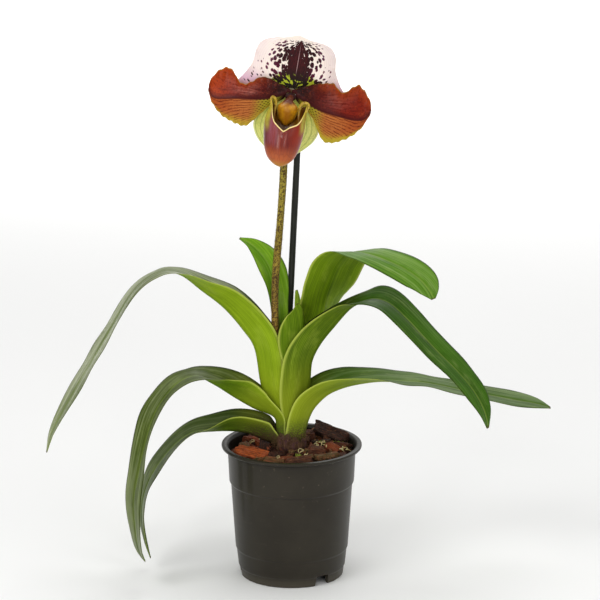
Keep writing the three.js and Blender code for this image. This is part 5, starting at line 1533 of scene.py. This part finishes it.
def box_shell(nx, ny, nz):
    """Points from -1 to 1 on the skin of a box, with its faces."""
    where, points, faces = {}, [], []

    def at(i, j, k):
        if (i, j, k) not in where:
            where[i, j, k] = len(points)
            points.append((2 * i / nx - 1, 2 * j / ny - 1, 2 * k / nz - 1))
        return where[i, j, k]

    for i in range(nx):
        for j in range(ny):
            faces.append((at(i, j, 0), at(i, j + 1, 0), at(i + 1, j + 1, 0), at(i + 1, j, 0)))
            faces.append((at(i, j, nz), at(i + 1, j, nz), at(i + 1, j + 1, nz), at(i, j + 1, nz)))
    for i in range(nx):
        for k in range(nz):
            faces.append((at(i, 0, k), at(i + 1, 0, k), at(i + 1, 0, k + 1), at(i, 0, k + 1)))
            faces.append((at(i, ny, k), at(i, ny, k + 1), at(i + 1, ny, k + 1), at(i + 1, ny, k)))
    for j in range(ny):
        for k in range(nz):
            faces.append((at(0, j, k), at(0, j, k + 1), at(0, j + 1, k + 1), at(0, j + 1, k)))
            faces.append((at(nx, j, k), at(nx, j + 1, k), at(nx, j + 1, k + 1), at(nx, j, k + 1)))
    return np.array(points), faces


CORNERS = ((1, 1, 1), (1, 1, -1), (1, -1, 1), (1, -1, -1),
           (-1, 1, -1), (-1, 1, 1), (-1, -1, -1), (-1, -1, 1))


def bark_chip(length, width, thick, corners, seed, fineness=1.1):
    """One chip: a box of eight pulled corners, with worn edges, grooves along the grain and flakes."""
    nx, ny, nz = (max(4, int(s / fineness)) for s in (length, width, thick))
    shell, faces = box_shell(nx, ny, nz)
    local = np.zeros_like(shell)
    for corner, scale in zip(CORNERS, corners):
        weight = np.prod((1 + shell * np.array(corner)) / 2, axis=1)[:, None]
        local += weight * np.array(corner) * np.array(scale) * (length, width, thick) / 2
    # Worn edges, then grooves along the grain, split layers at the sides and broken ends.
    near = np.sort(np.abs(shell), axis=1)[:, ::-1]
    worn = smooth(near[:, 1], 0.75, 1.0) * 0.05 + smooth(near[:, 2], 0.75, 1.0) * 0.06
    local = local * (1 - worn[:, None])
    grain = local * (0.16, 1, 1)
    groove = wobble(grain, 3.4, seed) * 0.34 + wobble(grain, 1.5, seed + 1) * 0.16
    flake = np.sign(wobble(local * (0.5, 1, 1), 7.0, seed + 2)) * 0.22
    face = np.abs(shell[:, 2]) > 0.999
    away = np.where(face[:, None], np.sign(shell) * (0, 0, 1.0), unit(shell * (0.5, 1, 0.3)))
    local = local + away * (groove + np.where(face, flake, 0))[:, None]
    layer = np.sin(local[:, 2] * 4.2 + wobble(local, 9, seed + 3)) * 0.3
    end = np.abs(shell[:, 0]) > 0.999
    side = (np.abs(shell[:, 1]) > 0.999) | end
    local[:, 1] += np.where(side, layer * np.sign(local[:, 1]), 0)
    local[:, 0] += np.where(end, wobble(local * (0, 1, 1), 2.4, seed + 4) * 0.7, 0)
    local[:, 2] += 0.5 * wobble(local * (1, 1, 0), 18, seed + 5)
    return local, faces


def turned(points, turn, tilt, lean):
    """Turned about x by lean, then about y by tilt, then about z by turn, in degrees."""

    def swing(a, b, angle):
        sine, cosine = math.sin(angle), math.cos(angle)
        return a * cosine - b * sine, a * sine + b * cosine

    turn, tilt, lean = np.radians([turn, tilt, lean])
    x, y, z = points.T
    y, z = swing(y, z, lean)
    z, x = swing(z, x, tilt)
    x, y = swing(x, y, turn)
    return np.stack([x, y, z], 1)


def bark_set():
    """Each chip as (points, faces, local points, tone)."""
    random = Lcg(MIX["seed"])
    rng = np.random.default_rng(SEEDS["bits"])
    chips = []

    def add(length, width, thick, at, turn=None, tilt=None, lean=None, tone=None):
        corners = [[0.62 + 0.38 * random(), 0.6 + 0.4 * random(), 0.7 + 0.5 * random()] for _ in CORNERS]
        if turn is None:
            turn, tilt, lean = 360 * random(), 40 * random() - 20, 36 * random() - 18
        local, faces = bark_chip(length, width, thick, corners, 100 + 7 * len(chips))
        points = turned(local, turn, tilt, lean) + np.array(at)
        chips.append((points, faces, local, rng.uniform(0.0, 0.9) if tone is None else tone))

    for i in range(MIX["chips"]):
        r = 6 + (MIX["reach"] - 6) * math.sqrt((i + 0.5) / MIX["chips"])
        turn = i * GOLDEN_TURN
        size = 12 + 12 * random()
        z = surface(r) + 2.4 * random() - 1
        width = size * (0.45 + 0.3 * random())
        thick = 3 + 3.5 * random()
        add(size, width, thick, (r * math.cos(turn), r * math.sin(turn), z))
    for chip in CHIPS:
        add(*chip)
    # Small broken bits between the big pieces.
    for i in range(MIX["bits"]):
        r, way = 50 * math.sqrt(rng.uniform(0.08, 1)), rng.uniform(0, 2 * math.pi)
        size = rng.uniform(3, 8)
        corners = rng.uniform(0.6, 1.0, (8, 3))
        width, thick = size * rng.uniform(0.4, 0.8), rng.uniform(1.2, 2.8)
        local, faces = bark_chip(size, width, thick, corners, 900 + i, 0.9)
        at = np.array([r * math.cos(way), r * math.sin(way), surface(r) + rng.uniform(-1.0, 1.2)])
        points = turned(local, *rng.uniform([0, -30, -30], [360, 30, 30])) + at
        chips.append((points, faces, local, rng.uniform(0, 1)))
    return chips


def kept_clear(points):
    """Keeps bark inside the pot's wall and out of the leaves, the stems and the stake."""
    points = points.copy()
    neck = POT["neck_height"]
    x, y, z = points.T
    limit = np.where(z < neck, wall_at(z), wall_at(neck) + 0.4 * smooth(z, neck, neck + 4))
    points[:, :2] *= np.minimum(1, limit / np.maximum(np.hypot(x, y), 1e-6))[:, None]
    flare = lerp(14.9, 24, np.clip((z - 124) / 16, 0, 1))
    for (cx, cy), rx, ry in ((FAN, flare * 1.18, flare * 1.03), (BEHIND, BEHIND_REACH, BEHIND_REACH)):
        reach = np.hypot((x - cx) / rx, (y - cy) / ry)
        push = np.where((reach < 1) & (z > 100), 1 / np.maximum(reach, 0.15), 1)
        points[:, 0] = cx + (x - cx) * push
        points[:, 1] = cy + (y - cy) * push
    return points


def make_bark():
    turn = full_turn(MIX["around"])[None]
    out = np.linspace(1, 0.03, MIX["rows"])[:, None]
    r = out * (wall_at(105) - 0.3)
    x, y = r * np.cos(turn), r * np.sin(turn)
    spot = np.stack([x, y, 0 * x], -1)
    z = surface(r) - 2.2 + 0.9 * wobble(spot, 9, 3) + 0.5 * wobble(spot, 3.2, 4) - 5 * smooth(out, 0.9, 1.0)
    hollow = np.minimum(
        np.hypot((x - FAN[0]) / FAN_REACH[0], (y - FAN[1]) / FAN_REACH[1]),
        np.hypot((x - BEHIND[0]) / BEHIND_REACH, (y - BEHIND[1]) / BEHIND_REACH))
    z = lerp(112.0 + 0 * z, z, smooth(hollow, 0.95, 1.15))
    top = np.stack([x, y, z], -1)
    side_z = np.array([MIX["floor"], 30, 60, 83, 96])[:, None]
    side_r = wall_at(side_z) - 0.5
    side = np.stack([side_r * np.cos(turn), side_r * np.sin(turn), side_z + 0 * turn], -1)
    points, faces = capped(np.concatenate([side, top]), (0, 0, MIX["floor"]), top[-1].mean(0))
    parts = [(points, faces, points, 0.25)]
    parts += [(kept_clear(p), f, local, tone) for p, f, local, tone in bark_set()]
    points, faces = gather([(p, f) for p, f, _, _ in parts])
    fields = {
        "local": np.concatenate([local for _, _, local, _ in parts]) + np.repeat(
            np.arange(len(parts)) * 37.0, [len(p) for p, *_ in parts])[:, None],
        "tone": np.concatenate([np.full(len(p), tone) for p, _, _, tone in parts]),
    }
    piece = fine_piece("bark_mix", points, faces, fields, sharp=40)
    m = Looks("bark_skin", roughness=0.85, specular=0.25)
    tone = m.field("tone")
    lx, ly, lz = m.parts(m.field("local", "Vector"))
    fibre = m.streaks((lx * 0.16, ly * 1.5, lz * 1.5), 5, 0.65)
    flake = m.cells(1.0, at=(lx * 0.14, ly * 0.5, lz * 0.8))
    dust = m.noise(420, 4, 0.7)
    colour = m.layers(
        "#2a1a14",
        (tone.step(0.0, 0.3), "#4e2a1c"),
        (tone.step(0.3, 0.5), "#5c4a2a"),
        (tone.step(0.55, 0.8), "#703418"),
        (tone.step(0.85, 0.97), "#a44c1e"))
    ribs = m.sum("SINE", ly * 2.6 + fibre * 4.0)
    colour = m.layers(
        colour,
        (ribs.step(0.3, 0.9) * tone.step(0.85, 0.95, 0.7, start=0.25), "#5e2410"),
        (fibre.step(0.5, 0.36, 0.75), "#1c0e0a"),
        (fibre.step(0.55, 0.75, 0.45), "#c08058"),
        (flake.step(0.5, 0.8) * tone.step(0.2, 0.6, 0.5, start=0.1), "#8d4a30"),
        (dust.step(0.58, 0.72, 0.4), "#948264"))
    bumps = ((fibre, 0.7, 0.0012), (flake, 0.3, 0.001), (dust, 0.3, 0.0005))
    dress(piece, m.finish(colour, fibre * 0.25 + 0.68, bumps))


make_bark()


# Where old roots curl on the bark, with their size; where moss grows, with its reach and how many tufts.
ROOT_BEDS = (
    (-30, 12, 4), (-35, 6, 3.4), (-26, 16, 3), (24, -4, 4), (28, -9, 3.4), (21, -9, 2.6), (26, 2, 3),
    (46, -6, 3.6), (49, -12, 3), (43, -13, 2.4), (36, -28, 3), (-12, -38, 2.4), (8, -24, 3),
    (12, -30, 2.4))
MOSS_BEDS = ((28, 8, 5, 260), (-24, 20, 4, 160), (6, -30, 3, 120), (40, 14, 3, 120))


def make_roots():
    """Old roots, pale curls and a few tufts of moss that lie on the bark."""
    rng = np.random.default_rng(SEEDS["roots"])
    curls = []
    for cx, cy, size in ROOT_BEDS:
        steps = np.linspace(0, 1, 40)
        turn = rng.uniform(0, 6.28)
        arc = rng.uniform(3.0, 6.5)
        r = size * (0.45 + 0.55 * steps) * (1 + 0.2 * np.sin(5 * steps))
        x = cx + r * np.cos(turn + arc * steps)
        y = cy + r * np.sin(turn + arc * steps)
        z = surface(np.hypot(x, y)) + 2.0 + 1.6 * np.sin(math.pi * steps) + 0.5 * np.sin(11 * steps)
        curls.append(tube(np.stack([x, y, z], 1), lerp(0.5, 0.2, steps), 8))
    points, faces = gather(curls)
    piece = make_piece("old_roots", kept_clear(points), faces, "bark_mix")
    m = Looks("old_root_skin", roughness=0.8)
    grain = m.noise(500, 4, 0.65)
    colour = m.mix(grain.step(0.35, 0.7), "#a08a50", "#d8cc9c")
    dress(piece, m.finish(colour, None, ((grain, 0.4, 0.0005),)))

    roots, ways = [], []
    for cx, cy, reach, count in MOSS_BEDS:
        spot = rng.normal(size=(count, 2)) * reach * 0.45 + (cx, cy)
        z = surface(np.hypot(spot[:, 0], spot[:, 1])) + 1.2
        roots.append(np.column_stack([spot, z]))
        ways.append(rng.normal(size=(count, 3)) * (0.8, 0.8, 0.3) + (0, 0, 0.8))
    roots, ways = np.concatenate(roots), np.concatenate(ways)
    points, faces = hairs(roots, ways, rng.uniform(0.8, 2.4, len(roots)), 0.16, 0.3, 9)
    moss = make_piece("moss", points, faces, "bark_mix")
    dress(moss, two_toned("moss_skin", 120, "#5f7a1c", "#a9ba3c", roughness=0.8))


make_roots()


# ---------- floor, sizes ----------
def make_floor():
    mesh = bpy.data.meshes.new("floor")
    reach = 12.0
    corners = [(x * reach, y * reach, 0) for x, y in ((-1, -1), (1, -1), (1, 1), (-1, 1))]
    mesh.from_pydata(corners, [], [(0, 1, 2, 3)])
    floor = bpy.data.objects.new("floor", mesh)
    floor.location.z = -0.0002  # just under the foot, so that the two don't share a plane
    scene.collection.objects.link(floor)
    dress(floor, two_toned("floor_paint", 3, "#f6f6f5", "#f8f8f7", roughness=0.9, specular=0.1))


make_floor()
